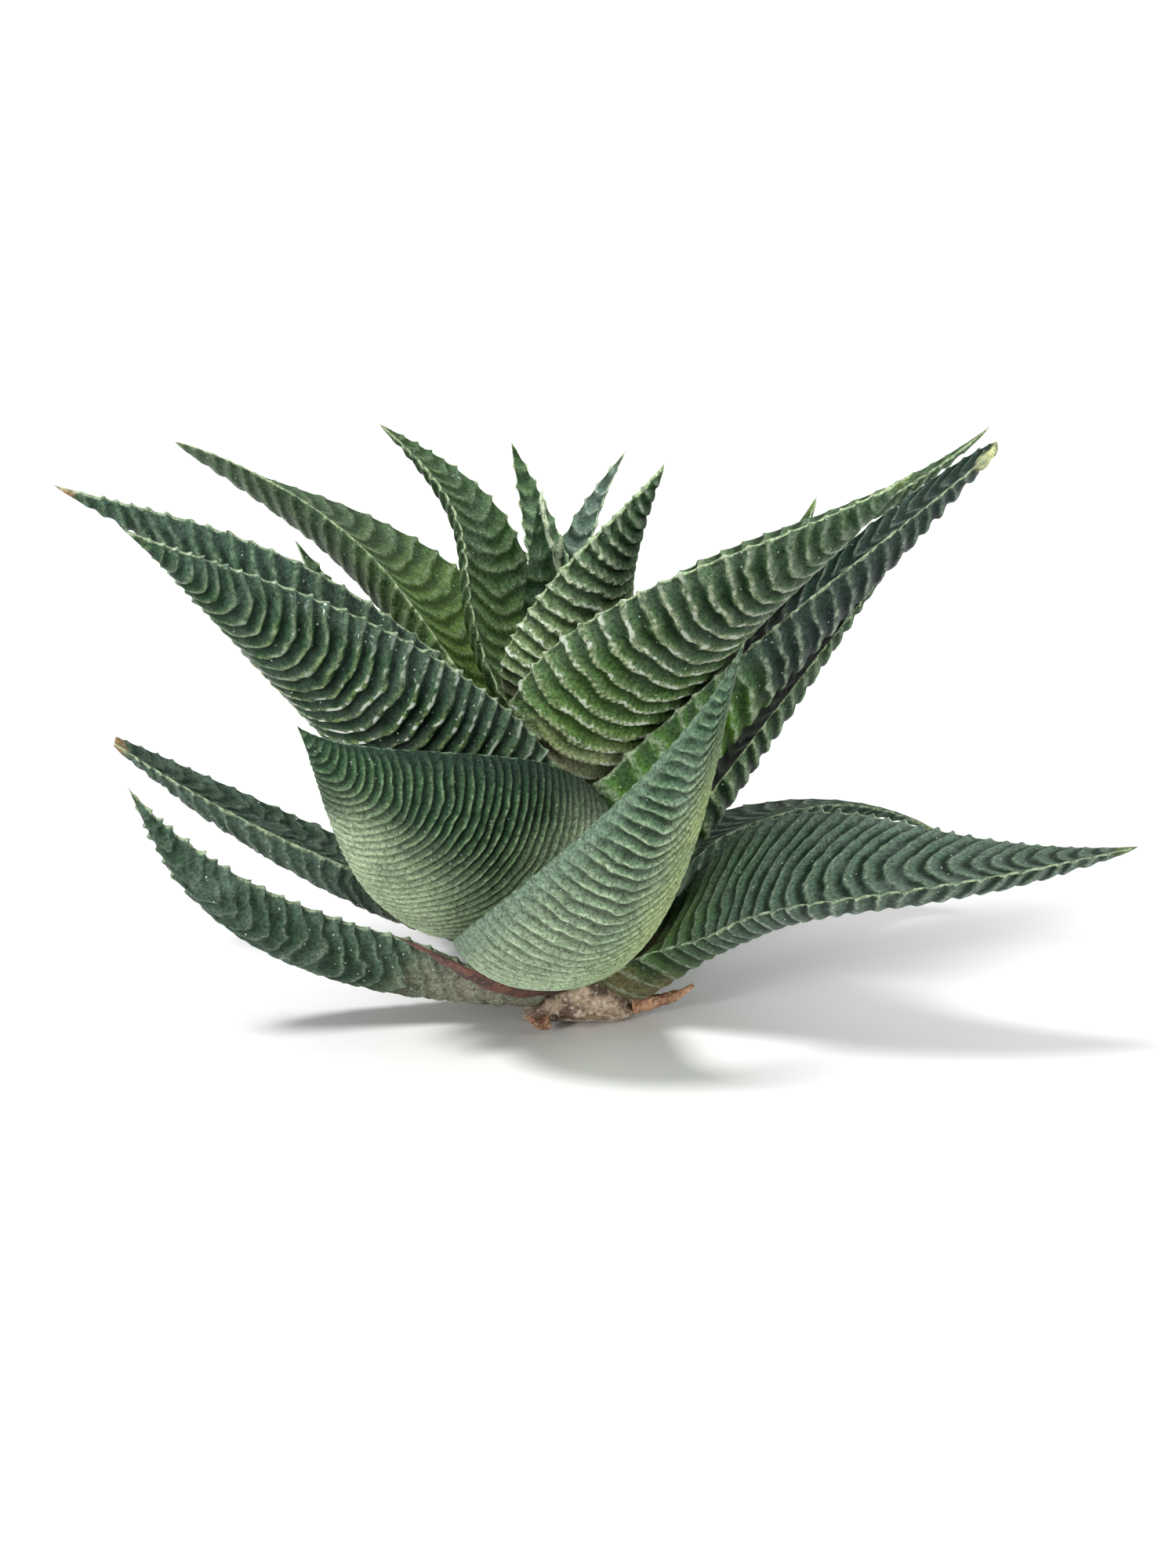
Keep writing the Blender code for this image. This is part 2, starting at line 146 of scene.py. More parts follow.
class Lattice:
    """Smooth noise from a seeded grid of values that repeats."""

    SIDE = 32

    def __init__(self, seed: int) -> None:
        """Draw the grid's values."""
        self.grid = np.random.default_rng(seed).random((self.SIDE,) * 3)

    def at(self, places: Array, size: float) -> Array:
        """Noise at points, from -1 to 1.

        Args:
            places: Points, one row each.
            size: Distance between the noise's hills, in the points' units.

        Returns:
            One value for each point.
        """
        scaled = places / size
        low = np.floor(scaled).astype(int)
        part = smooth(scaled - low)
        total = np.zeros(len(places))
        for corner in np.ndindex(2, 2, 2):
            weight = np.prod(np.where(corner, part, 1.0 - part), axis=1)
            i, j, k = ((low + corner) % self.SIDE).T
            total += weight * self.grid[i, j, k]
        return 2.0 * total - 1.0


@dataclass(frozen=True)
class Ridges:
    """Relief of a leaf's skin.

    depth and upper_depth are the valleys' on the back and the upper face, of which foot_share is left at
    the foot and low_share at the lower margin. sharp narrows the crests and wobble shifts them by a share of
    a ridge. Beads follow each other every bead_every along a crest, on the first bead_to of the leaf. tooth
    is how far a tooth stands beyond the margin, which draws back by scallop between teeth, and grit is the
    finer unevenness. The ridges die away over flat_rim beside the margin, and the sweeps draw their ends
    towards the point. rows is the faces along one ridge.
    """

    depth: float = 0.46
    upper_depth: float = 0.28
    sharp: float = 1.2
    wobble: float = 0.16
    bead_every: float = 0.62
    bead_to: float = 0.0
    tooth: float = 0.42
    scallop: float = 0.3
    grit: float = 0.05
    flat_rim: float = 0.6
    foot_share: float = 1.0
    low_share: float = 1.0
    sweep_left: float = 0.055
    sweep_right: float = 0.055
    rows: int = 8


@dataclass(frozen=True)
class LeafFinish:
    """Colours and finish of one kind of leaf skin.

    The foot colour fades from foot_from to foot_to, the base colour over it by base_to, and the tip colour
    starts at tip_from. valley_shade is painted shade in the grooves and under the crests' lips, laid on at
    valley_shade_strength; valley_shade_to and crest_to are what is left of it and of the crest lines at the
    point, crest_upper what is left of the lines along the upper margin, and foot_valley_shade how dark that
    painted shade is on the foot colour. rim_bloom is the waxy bloom along the upper margin, and under_pale
    the foot colour along the lower one, or under where that is given. gloss is the weight of the clear coat
    on the crests, and streaks how much white highlight is painted along them.
    """

    slot: Slot
    valley_shade: Colour
    field: Colour
    crest: Colour
    bloom: Colour
    foot: Colour
    base: Colour
    tip: Colour
    rim: Colour
    foot_from: float = 0.06
    foot_to: float = 0.36
    foot_strength: float = 0.8
    foot_valley_shade: float = 0.62
    base_to: float = 0.12
    tip_from: float = 0.955
    valley_shade_strength: float = 0.95
    valley_shade_to: float = 0.7
    crest_width: float = 0.24
    crest_strength: float = 0.8
    crest_to: float = 0.28
    crest_upper: float = 0.75
    bloom_strength: float = 0.45
    rim_bloom: float = 0.35
    rim_width: float = 0.15
    under_pale: float = 0.0
    under: Optional[Colour] = None
    roughness: float = 0.50
    gloss: float = 0.25
    streaks: float = 0.0
    specks: float = 0.7

    def dress(self, name: str, effects: "Effects") -> Material:
        """Material of this finish for one leaf."""
        return LeafPaint(name, effects, self).dress()


# valley_shade in each finish is the colour of the painted shade in its grooves
DEEP = LeafFinish(
    Slot.LEAF_DEEP, valley_shade=(8, 20, 13), field=(46, 68, 50), crest=(128, 146, 116), bloom=(72, 90, 80),
    foot=(60, 88, 34), base=(104, 98, 70), tip=(84, 96, 56), rim=(136, 152, 122),
)
GREY = LeafFinish(
    Slot.LEAF_GREY, valley_shade=(12, 28, 13), field=(58, 82, 52), crest=(150, 166, 132), bloom=(82, 100, 82),
    foot=(76, 108, 42), base=(122, 122, 80), tip=(84, 104, 54), rim=(150, 166, 130),
)
PALE = LeafFinish(
    Slot.LEAF_PALE, valley_shade=(6, 18, 10), field=(44, 68, 45), crest=(140, 162, 124), bloom=(27, 42, 35),
    foot=(158, 174, 142), base=(176, 188, 162), tip=(112, 130, 78), rim=(92, 112, 88), foot_from=0.16,
    foot_to=0.46, foot_strength=0.95, foot_valley_shade=0.40, tip_from=0.975, crest_width=0.27, crest_strength=1.0,
    crest_upper=0.5, rim_bloom=0.85, rim_width=0.10, under_pale=0.9, roughness=0.55, gloss=0.12, specks=0.5,
)
LIGHT = replace(
    PALE, field=(60, 84, 62), bloom=(88, 106, 90), crest=(152, 168, 138), foot=(142, 158, 130), foot_to=0.74,
    base=(184, 192, 174), base_to=0.16, under=(142, 158, 104), under_pale=0.8,
)
GLOSSY = replace(
    DEEP, field=(36, 60, 40), crest=(134, 154, 98), bloom=(74, 92, 80), crest_width=0.30, crest_strength=0.8,
    crest_upper=0.2, gloss=1.0, streaks=1.0,
)
ROUGH = replace(
    DEEP, field=(46, 66, 50), valley_shade_strength=0.6, crest=(144, 158, 136), crest_strength=0.38, specks=1.0,
    bloom_strength=0.75, bloom=(84, 102, 90), base=(140, 136, 120), base_to=0.34,
)
GROOVED = replace(
    DEEP, valley_shade=(14, 27, 19), field=(66, 85, 70), crest=(156, 168, 148), bloom=(86, 98, 90), valley_shade_to=1.0,
    crest_width=0.15, crest_strength=0.6,
)
# its dark field is painted shade, where the leaf lies between the leaves beside it
BRIGHT_FOOT = replace(
    DEEP, field=(27, 45, 38), crest=(160, 174, 148), crest_strength=0.85, bloom_strength=0.2,
    foot=(68, 108, 14), foot_from=0.26, foot_to=0.46, foot_strength=0.95, tip=(172, 176, 130), tip_from=0.93,
)
WITHERED = replace(ROUGH, tip=(128, 104, 74), tip_from=0.93)
BROWN_TIP = replace(DEEP, tip=(136, 108, 74), tip_from=0.945)
LONG_FOOT = replace(GREY, valley_shade=(26, 46, 20), foot=(94, 126, 50), foot_from=0.28, foot_to=0.68)
CROWN = replace(GREY, valley_shade=(30, 50, 24), foot=(88, 116, 62), foot_to=0.6)
BLUISH = replace(GREY, field=(70, 90, 78), bloom=(92, 108, 98))
HEART = replace(GREY, field=(30, 52, 28), rim=(184, 198, 166), rim_width=0.30, crest_strength=0.15)
BEADED = replace(
    GREY, crest=(168, 174, 142), crest_width=0.30, crest_strength=0.9, crest_to=0.10, field=(48, 72, 44),
    foot=(92, 126, 58), foot_to=0.55, base=(174, 168, 140), base_to=0.2, gloss=1.0, streaks=0.55,
)
PALE_BEADED = replace(BEADED, foot=(124, 148, 98), crest=(182, 192, 162), foot_to=0.75)


@dataclass(frozen=True)
class DryFinish:
    """Colours of a dead part: bark, root or withered sheath."""

    slot: Slot
    dark: Colour
    light: Colour
    fleck: Colour
    roughness: float = 0.7

    BUMP = (0.18, 0.8)

    def dress(self, name: str, effects: "Effects") -> Material:
        """Material of this finish for one piece.

        Args:
            name: The piece's name.
            effects: The shared effects.

        Returns:
            The material.
        """
        paint = Paint(name, self.dark)
        fibre, blotch, height = paint.add("Group", paint.place(), node_tree=effects.fibre).outputs[:3]
        paint.coat(paint.fit(blotch, 0.38, 0.62), self.light)
        paint.coat(paint.fit(fibre, 0.52, 0.68, 0.0, 0.8), self.fleck)
        paint.coat(paint.fit(fibre, 0.46, 0.36, 0.0, 0.7), self.dark)
        return paint.close(height, self.BUMP, {"Roughness": self.roughness})


BARK = DryFinish(Slot.DRY_STEM, (104, 86, 72), (200, 178, 152), (232, 220, 202), roughness=0.85)
SHEATH = DryFinish(Slot.DRY_FIBRE, (52, 28, 24), (104, 62, 48), (134, 96, 76))
ROOT = DryFinish(Slot.DRY_FIBRE, (118, 80, 58), (196, 148, 114), (216, 182, 152))

Finish = Union[LeafFinish, DryFinish]


class Nodes:
    """A node tree with short ways to add and join its nodes. Patterns are measured in millimetres."""

    def __init__(self, tree: NodeTree) -> None:
        """Work on a tree."""
        self.tree = tree

    def add(self, kind: str, *values: Given, **settings: Union[str, NodeTree]) -> Node:
        """Add a node.

        Args:
            kind: The node's type without the ShaderNode in front.
            values: What its inputs get in order: a socket to link, a number or a colour.
            settings: Attributes of the node.

        Returns:
            The new node.
        """
        node = self.tree.nodes.new("ShaderNode" + kind)
        for name, value in settings.items():
            setattr(node, name, value)
        for socket, value in zip([s for s in node.inputs if s.enabled], values):
            self.give(socket, value)
        return node

    def give(self, socket: Socket, value: Given) -> None:
        """Link a socket to another, or set its own value.

        Args:
            socket: The input.
            value: What it gets: a socket to link, a number or a colour.
        """
        if isinstance(value, Socket):
            self.tree.links.new(value, socket)
        else:
            socket.default_value = linear(value) if socket.type == "RGBA" else value

    def put(self, node: Node, values: dict[str, Given]) -> None:
        """Give a node's inputs their values by name."""
        for name, value in values.items():
            self.give(node.inputs[name], value)

    def math(self, operation: str, *values: Value) -> Socket:
        """Result of a Math node."""
        return self.add("Math", *values, operation=operation).outputs[0]

    def times(self, *values: Value) -> Socket:
        """Product of values."""
        return reduce(partial(self.math, "MULTIPLY"), values)

    def rest(self, value: Value) -> Socket:
        """What is left of 1 after a value."""
        return self.math("SUBTRACT", 1.0, value)

    def fit(self, value: Value, low: Value, high: Value, start: Value = 0.0, end: Value = 1.0) -> Socket:
        """Ease a value from one range to another, held at its ends."""
        node = self.add("MapRange", value, low, high, start, end, interpolation_type="SMOOTHSTEP")
        return node.outputs[0]

    def blend(self, share: Value, first: Tint, second: Tint, mode: str = "MIX") -> Socket:
        """Mix of two colours."""
        node = self.add("Mix", share, first, second, data_type="RGBA", blend_type=mode)
        return [s for s in node.outputs if s.enabled][0]

    def mark(self, mark: Mark) -> Socket:
        """What a leaf's mesh says at each point."""
        return self.add("Attribute", attribute_name=mark.value, attribute_type="GEOMETRY").outputs["Fac"]

    def place(self) -> Socket:
        """Place on the piece in metres."""
        return self.add("TexCoord").outputs["Object"]

    def noise(self, place: Socket, size: float, detail: float) -> Socket:
        """Noise with hills this far apart."""
        return self.add("TexNoise", place, 1.0 / (size * MM), detail).outputs[0]


class Group(Nodes):
    """A shader node group in the making."""

    def __init__(self, name: str, kind: str, *takes: str) -> None:
        """Start the group.

        Args:
            name: Its name.
            kind: The socket kind of its inputs, Float or Vector.
            takes: The names of its inputs.
        """
        super().__init__(bpy.data.node_groups.new(name, "ShaderNodeTree"))
        for socket in takes:
            self.tree.interface.new_socket(socket, in_out="INPUT", socket_type="NodeSocket" + kind)
        self.taken = self.tree.nodes.new("NodeGroupInput").outputs[: len(takes)]

    def close(self, **gives: Socket) -> NodeTree:
        """Give the group its outputs.

        Args:
            gives: The numbers that it gives, by the names of the outputs.

        Returns:
            The finished group.
        """
        for socket in gives:
            self.tree.interface.new_socket(socket, in_out="OUTPUT", socket_type="NodeSocketFloat")
        self.put(self.tree.nodes.new("NodeGroupOutput"), gives)
        return self.tree


class Effects:
    """Shader node groups that several materials share, with the sizes of their patterns."""

    RIPPLE = 0.045  # how far a bead pushes its crest along, as a share of a ridge
    CELL = 0.20
    PEBBLE = 0.52
    SPECK = 0.62
    GRAIN = 0.34
    MOTTLE = 4.5
    FIBRE = 0.5
    BLOTCH = 2.6
    CRUMB = 0.18

    def __init__(self) -> None:
        """Build the groups."""
        self.ridge = self.ridge_group()
        self.skin = self.skin_group()
        self.fibre = self.fibre_group()

    def ridge_group(self) -> NodeTree:
        """Masks of a ridge, from the running count of ridges and the turn of the beads along its crest.

        Returns:
            The group. Crest is its lip, ValleyShade the painted shade under the lip and in the groove before
            the next one, Row the band that the beads lie in, and Knob the beads.
        """
        nodes = Group("ridge_masks", "Float", "Count", "Turn", "Beads", "Width")
        count, turn, beads, width = nodes.taken
        beat = nodes.math("COSINE", nodes.times(turn, math.tau))
        within = nodes.math("FRACT", nodes.math("ADD", count, nodes.times(beat, beads, self.RIPPLE)))
        lip = nodes.fit(within, STEEP - 0.14, STEEP - 0.04)
        fade = nodes.fit(within, STEEP, nodes.math("ADD", width, STEEP), 1.0, 0.0)
        # painted shade: the band just under each lip, where the ridge's shadow falls, and the groove before
        # the next lip
        before = nodes.fit(within, 0.08, STEEP - 0.06, 1.0, 0.0)
        valley_shade = nodes.math("MAXIMUM", before, nodes.fit(within, 0.55, 0.96))
        near = nodes.fit(within, STEEP - 0.16, STEEP - 0.06)
        row = nodes.times(near, nodes.fit(within, STEEP + 0.02, STEEP + 0.13, 1.0, 0.0), beads)
        knob = nodes.times(nodes.fit(beat, -0.5, 0.5), row)
        return nodes.close(Crest=nodes.times(lip, fade), ValleyShade=valley_shade, Row=row, Knob=knob)

    def skin_group(self) -> NodeTree:
        """Fine skin of a leaf.

        Returns:
            The group, with its cells, its mottling, its white specks of painted highlight and its height.
        """
        nodes = Group("leaf_skin", "Vector", "Place")
        place = nodes.taken[0]
        sizes = (self.CELL, self.PEBBLE, self.SPECK)
        cells, pebbles, spots = (nodes.add("TexVoronoi", place, 1.0 / (size * MM)).outputs for size in sizes)
        coarse, mottle = nodes.noise(place, self.GRAIN, 3.0), nodes.noise(place, self.MOTTLE, 4.0)
        chosen = nodes.fit(nodes.add("SeparateColor", spots["Color"]).outputs[0], 0.84, 0.88)
        specks = nodes.times(nodes.fit(spots["Distance"], 0.10, 0.22, 1.0, 0.0), chosen)
        grain = nodes.math("MULTIPLY_ADD", coarse, 0.45, 0.55)
        grain = nodes.math("MULTIPLY_ADD", cells["Distance"], -0.25, grain)
        grain = nodes.math("MULTIPLY_ADD", pebbles["Distance"], -0.22, grain)
        height = nodes.math("MULTIPLY_ADD", nodes.rest(cells["Distance"]), 0.4, coarse)
        height = nodes.math("MULTIPLY_ADD", nodes.rest(pebbles["Distance"]), 0.8, height)
        return nodes.close(Cells=grain, Mottle=mottle, Specks=specks, Height=height)

    def fibre_group(self) -> NodeTree:
        """Dead tissue.

        Returns:
            The group, with its long fibres, its blotches and a rough height.
        """
        nodes = Group("dry_fibres", "Vector", "Place")
        place = nodes.taken[0]
        fibre, blotch = nodes.noise(place, self.FIBRE, 6.0), nodes.noise(place, self.BLOTCH, 4.0)
        height = nodes.math("ADD", fibre, nodes.noise(place, self.CRUMB, 3.0))
        return nodes.close(Fibre=fibre, Blotch=blotch, Height=height)


class Paint(Nodes):
    """A material in the making, painted coat by coat."""

    def __init__(self, name: str, colour: Colour) -> None:
        """Start the material.

        Args:
            name: Its name.
            colour: Its first colour.
        """
        self.material = bpy.data.materials.new(name)
        self.material.use_nodes = True
        self.colour = colour
        super().__init__(self.material.node_tree)

    def coat(self, share: Value, colour: Tint, mode: str = "MIX") -> None:
        """Lay a colour over what is painted so far."""
        self.colour = self.blend(share, self.colour, colour, mode)

    def close(self, height: Socket, bump: tuple[float, float], values: dict[str, Given]) -> Material:
        """Finish the material.

        Args:
            height: The height of its skin.
            bump: How deep that is and how much of it is felt.
            values: What the shader gets besides the colour and the bumped normal.

        Returns:
            The material.
        """
        depth, strength = bump
        bumped = self.add("Bump")
        self.put(bumped, {"Strength": strength, "Distance": depth * MM, "Height": height})
        values = {"Base Color": self.colour, "Normal": bumped.outputs["Normal"], **values}
        self.put(self.tree.nodes["Principled BSDF"], values)
        return self.material


class LeafPaint(Paint):
    """The material of one leaf's skin."""

    BREAK = 1.1  # sizes of the patterns that break the lines, place the streaks and wet the crests
    PAINTED_GLINT_SIZE = 1.3
    PUDDLE = 2.0
    RAGGED = 0.16  # how unevenly the foot, base and tip colours run out, as a share of the leaf
    TIP_FADE = 0.04
    # white of the specks, painted highlights on the skin's tubercles
    SPECK_GLINT = (190, 198, 188)
    # white of the highlights painted along the crests
    PAINTED_GLINT = (232, 238, 228)
    BEAD_STRENGTH = 0.9
    KNOB = 3.0  # how much higher a bead stands than the grain of the skin
    BUMP = (0.09, 0.7)
    PLAIN_GLOSS = 0.07
    COAT_ROUGHNESS = 0.18

    def __init__(self, name: str, effects: Effects, finish: LeafFinish) -> None:
        """Place the shared effects and read what the leaf's mesh says.

        Args:
            name: The material's name.
            effects: The shared effects.
            finish: The leaf's colours and gloss.
        """
        super().__init__(name, finish.field)
        self.finish, self.spot = finish, self.place()
        skin = self.add("Group", self.spot, node_tree=effects.skin)
        marks = [self.mark(mark) for mark in (Mark.RIDGE, Mark.BEAD_TURN, Mark.BEADS)]
        ridge = self.add("Group", *marks, finish.crest_width, node_tree=effects.ridge)
        self.grain, self.mottle, self.specks, self.height = skin.outputs[:4]
        self.crest, self.valley_shade, self.row, self.knob = ridge.outputs[:4]
        self.along, self.side = self.mark(Mark.ALONG), self.mark(Mark.UPPER_SIDE)
        self.broken = self.fit(self.noise(self.spot, self.BREAK, 3.0), 0.36, 0.62, 0.25, 1.0)
        uneven = self.math("SUBTRACT", self.mottle, 0.5)
        self.ragged = self.math("MULTIPLY_ADD", uneven, self.RAGGED, self.along)
        back = self.fit(self.mark(Mark.BACK), 0.0, 1.0, 0.55, 1.0)
        self.face = self.times(back, self.fit(self.side, 0.2, 0.95, 1.0, finish.crest_upper))

    def ground(self) -> None:
        """Paint shade into the grooves between the fields, then the foot and the base."""
        finish, depth = self.finish, self.finish.valley_shade_strength
        # painted shade in the grooves, which fades towards the point
        groove = self.fit(self.along, 0.45, 0.95, depth, depth * finish.valley_shade_to)
        self.coat(self.times(self.valley_shade, groove), finish.valley_shade)
        foot = self.fit(self.ragged, finish.foot_from, finish.foot_to, finish.foot_strength, 0.0)
        if finish.under_pale:
            under = self.fit(self.side, 0.25, -0.85, 0.0, finish.under_pale)
            under = self.times(under, self.fit(self.along, 0.7, 0.9, 1.0, 0.0))
            foot = self.math("MAXIMUM", foot, under)
        paler = finish.foot
        if finish.under:
            paler = self.blend(self.fit(self.side, 0.0, -0.9), finish.foot, finish.under)
        # the foot colour, itself with painted shade in its grooves
        self.coat(foot, self.blend(self.times(self.valley_shade, finish.foot_valley_shade), paler, finish.valley_shade))
        self.coat(self.fit(self.ragged, finish.base_to * 0.3, finish.base_to, 0.85, 0.0), finish.base)

    def lines(self) -> None:
        """Paint the pale lines of the crests, with their beads."""
        finish, strength = self.finish, self.finish.crest_strength
        ageing = self.fit(self.along, 0.35, 0.95, strength, strength * finish.crest_to)
        gaps = self.fit(self.grain, 0.25, 0.6, 0.6, 1.0)
        between = self.math("MULTIPLY_ADD", self.row, -0.7, 1.0)
        self.coat(self.times(self.crest, self.broken, self.face, gaps, ageing, between), finish.crest)
        self.coat(self.times(self.knob, self.BEAD_STRENGTH), finish.crest)

    def bloom(self) -> None:
        """Paint the waxy bloom, the tip and the pale margin."""
        finish, width = self.finish, self.finish.rim_width
        ageing = self.fit(self.along, 0.2, 0.8, 0.3, 1.0)
        powder = self.times(self.fit(self.mottle, 0.42, 0.70), finish.bloom_strength, ageing)
        beside = self.fit(self.side, 0.60, 1.0, 0.0, finish.rim_bloom)
        self.coat(self.math("MAXIMUM", powder, beside), finish.bloom)
        self.coat(self.fit(self.ragged, finish.tip_from, finish.tip_from + self.TIP_FADE), finish.tip)
        edge = self.math("MULTIPLY_ADD", self.math("SUBTRACT", self.broken, 0.8), -0.12, self.mark(Mark.RIM))
        self.coat(self.fit(edge, width * 0.4, width, 0.8, 0.0), finish.rim)

    def grit(self) -> None:
        """Paint the cells, then the white specks and white stripes of painted highlight."""
        dark = self.fit(self.grain, 0.32, 0.70, 0.55, 1.65)
        self.coat(1.0, self.add("CombineColor", dark, dark, dark).outputs[0], "MULTIPLY")
        # white specks of painted highlight
        self.coat(self.times(self.specks, self.finish.specks), self.SPECK_GLINT)
        if self.finish.streaks:
            # painted highlights: white stripes of gloss laid into the colour on the crests, low on the leaf
            patch = self.fit(self.noise(self.spot, self.PAINTED_GLINT_SIZE, 1.0), 0.52, 0.58)
            low = self.fit(self.ragged, 0.40, 0.66, self.finish.streaks, 0.08)
            self.coat(self.times(patch, self.fit(self.crest, 0.35, 0.8), low, self.face), self.PAINTED_GLINT)

    def wet(self) -> Socket:
        """Wet the leaf, mostly on its crests.

        Returns:
            The weight of the clear coat.
        """
        patch = self.fit(self.noise(self.spot, self.PUDDLE, 2.0), 0.36, 0.60)
        dry = self.fit(self.grain, 0.25, 0.5, 0.3, 1.0)
        crest = self.math("MULTIPLY_ADD", self.crest, 0.7, 0.3)
        return self.times(patch, self.finish.gloss, dry, self.rest(self.valley_shade), crest)

    def dress(self) -> Material:
        """Paint every coat.

        Returns:
            The material.
        """
        for coat in (self.ground, self.lines, self.bloom, self.grit):
            coat()
        rough = self.finish.roughness
        return self.close(self.math("MULTIPLY_ADD", self.knob, self.KNOB, self.height), self.BUMP, {
            "Roughness": self.fit(self.mottle, 0.35, 0.7, rough - 0.1, rough + 0.16),
            "Coat Weight": self.wet(),
            "Coat Roughness": self.COAT_ROUGHNESS,
            "Specular IOR Level": self.PLAIN_GLOSS,
        })


def flat_sheet(name: str, around: int, rows: int) -> tuple[Object, Array, Array]:
    """A flat grid to be wrapped into a piece.

    Args:
        name: The piece's name.
        around: Faces that will go around the piece.
        rows: Faces that will go along it.

    Returns:
        The piece, and each vertex's share around and along it.
    """
    bpy.ops.object.select_all(action="DESELECT")
    bpy.ops.mesh.primitive_grid_add(x_subdivisions=around, y_subdivisions=rows, size=2.0, calc_uvs=False)
    piece = bpy.context.object
    piece.name = piece.data.name = name
    flat = np.empty(len(piece.data.vertices) * 3)
    piece.data.vertices.foreach_get("co", flat)
    shares = (flat.reshape(-1, 3) + 1.0) / 2.0
    return piece, shares[:, 0], shares[:, 1]


def wrap_sheet(piece: Object, places: Array, marks: dict[Mark, Array]) -> None:
    """Move a flat sheet's vertices to their places, join its seam and close its ends.

    Args:
        piece: The sheet.
        places: Each vertex's place.
        marks: Numbers that the vertices carry for the material.
    """
    piece.data.vertices.foreach_set("co", (places * MM).ravel())
    for mark, values in marks.items():
        attribute = piece.data.attributes.new(mark.value, "FLOAT", "POINT")
        attribute.data.foreach_set("value", values.astype(np.float32))
    bpy.ops.object.mode_set(mode="EDIT")
    bpy.ops.mesh.select_all(action="SELECT")
    bpy.ops.mesh.remove_doubles(threshold=1e-7)
    bpy.ops.mesh.select_all(action="DESELECT")
    bpy.ops.mesh.select_mode(type="EDGE")
    others = dict.fromkeys(("use_wire", "use_multi_face", "use_non_contiguous", "use_verts"), False)
    bpy.ops.mesh.select_non_manifold(extend=False, **others)
    bpy.ops.mesh.edge_face_add()
    bpy.ops.mesh.quads_convert_to_tris(quad_method="BEAUTY", ngon_method="BEAUTY")
    bpy.ops.mesh.select_all(action="SELECT")
    bpy.ops.mesh.normals_make_consistent(inside=False)
    bpy.ops.object.mode_set(mode="OBJECT")
    bpy.ops.object.shade_smooth()


def place_piece(piece: Object, finish: Finish, effects: Effects, node: str) -> None:
    """Dress a piece, let it ride on the body and stand for its solid.

    Args:
        piece: The shaped piece.
        finish: Its finish.
        effects: The shared effects.
        node: The CAD node that it stands for.
    """
    piece.data.materials.append(finish.dress(piece.name, effects))
    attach(piece, BODY)
    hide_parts(node)
    LOG.info("%s: %d faces, %s", piece.name, len(piece.data.polygons), finish.slot.value)


@dataclass
class Stem:
    """The stem inside the rosette, on its broken and knobbly stub.

    stub gives the height and radius of the stub's rings, and torn the height and size of each unevenness
    of its bark.
    """

    height: float = 40.0
    foot_radius: float = 5.0
    top_radius: float = 1.6
    shift: float = 1.0
    lean: float = -0.07
    gap: float = 0.15
    stub: tuple = ((0.0, 5.6), (0.5, 5.9), (1.0, 5.6), (1.5, 4.8), (3.2, 4.4))
    stub_top: float = 4.2
    bark_top: float = 2.5
    torn: tuple = ((0.5, 2.4), (0.35, 0.9), (0.2, 0.4))
    rib: float = 0.15
    ribs: float = 11.0
    spur: float = 1.3
    front_lift: float = 1.3
    around: int = 104
    rows: int = 92

    def axis(self, height: Array) -> Array:
        """Middle of the stem at heights, in rows."""
        height = np.asarray(height, float)
        return np.stack([self.shift + self.lean * height, np.zeros_like(height), height], axis=-1)

    def radius(self, height: float) -> float:
        """Radius of the stem at a height."""
        share = np.clip(height / self.height, 0.0, 1.0)
        return self.foot_radius + (self.top_radius - self.foot_radius) * share

    def build(self, effects: Effects) -> None:
        """Model and dress the stem.

        Args:
            effects: The shared effects.
        """
        piece, turn, share = flat_sheet("stem_bark", self.around, self.rows)
        top = self.stub_top
        rings = (*self.stub, (top, self.radius(top) - self.gap), (self.height, self.top_radius - self.gap))
        up = np.where(share < 0.5, share * 2.0 * top, top + (share * 2.0 - 1.0) * (self.height - top))
        angle = turn * math.tau
        out = np.stack([np.cos(angle), np.sin(angle), np.zeros_like(angle)], axis=1)
        centre = self.axis(up)
        centre[:, 0] *= np.clip(up / top, 0.0, 1.0)
        noise = Lattice(7)
        place = centre + out * np.interp(up, *zip(*rings))[:, None]
        torn = sum(height * noise.at(place, size) for height, size in self.torn)
        ribs = self.rib * np.sin(self.ribs * angle + 2.0 * noise.at(place, 3.0))
        low = 1.0 - smooth((up - self.bark_top) / 2.0)
        spur = self.spur * np.maximum(out[:, 0], 0.0) ** 6 * smooth(up / 1.4) * low
        place += out * ((torn * 0.9 + ribs) * low * smooth(up / 0.3) + spur)[:, None]
        front = np.maximum(-out[:, 1], 0.0) ** 2 * (1.0 - smooth(up / 1.6))
        place[:, 2] += self.front_lift * front * smooth((np.hypot(place[:, 0], place[:, 1]) - 2.0) / 3.0)
        wrap_sheet(piece, place, {})
        place_piece(piece, BARK, effects, "stem")


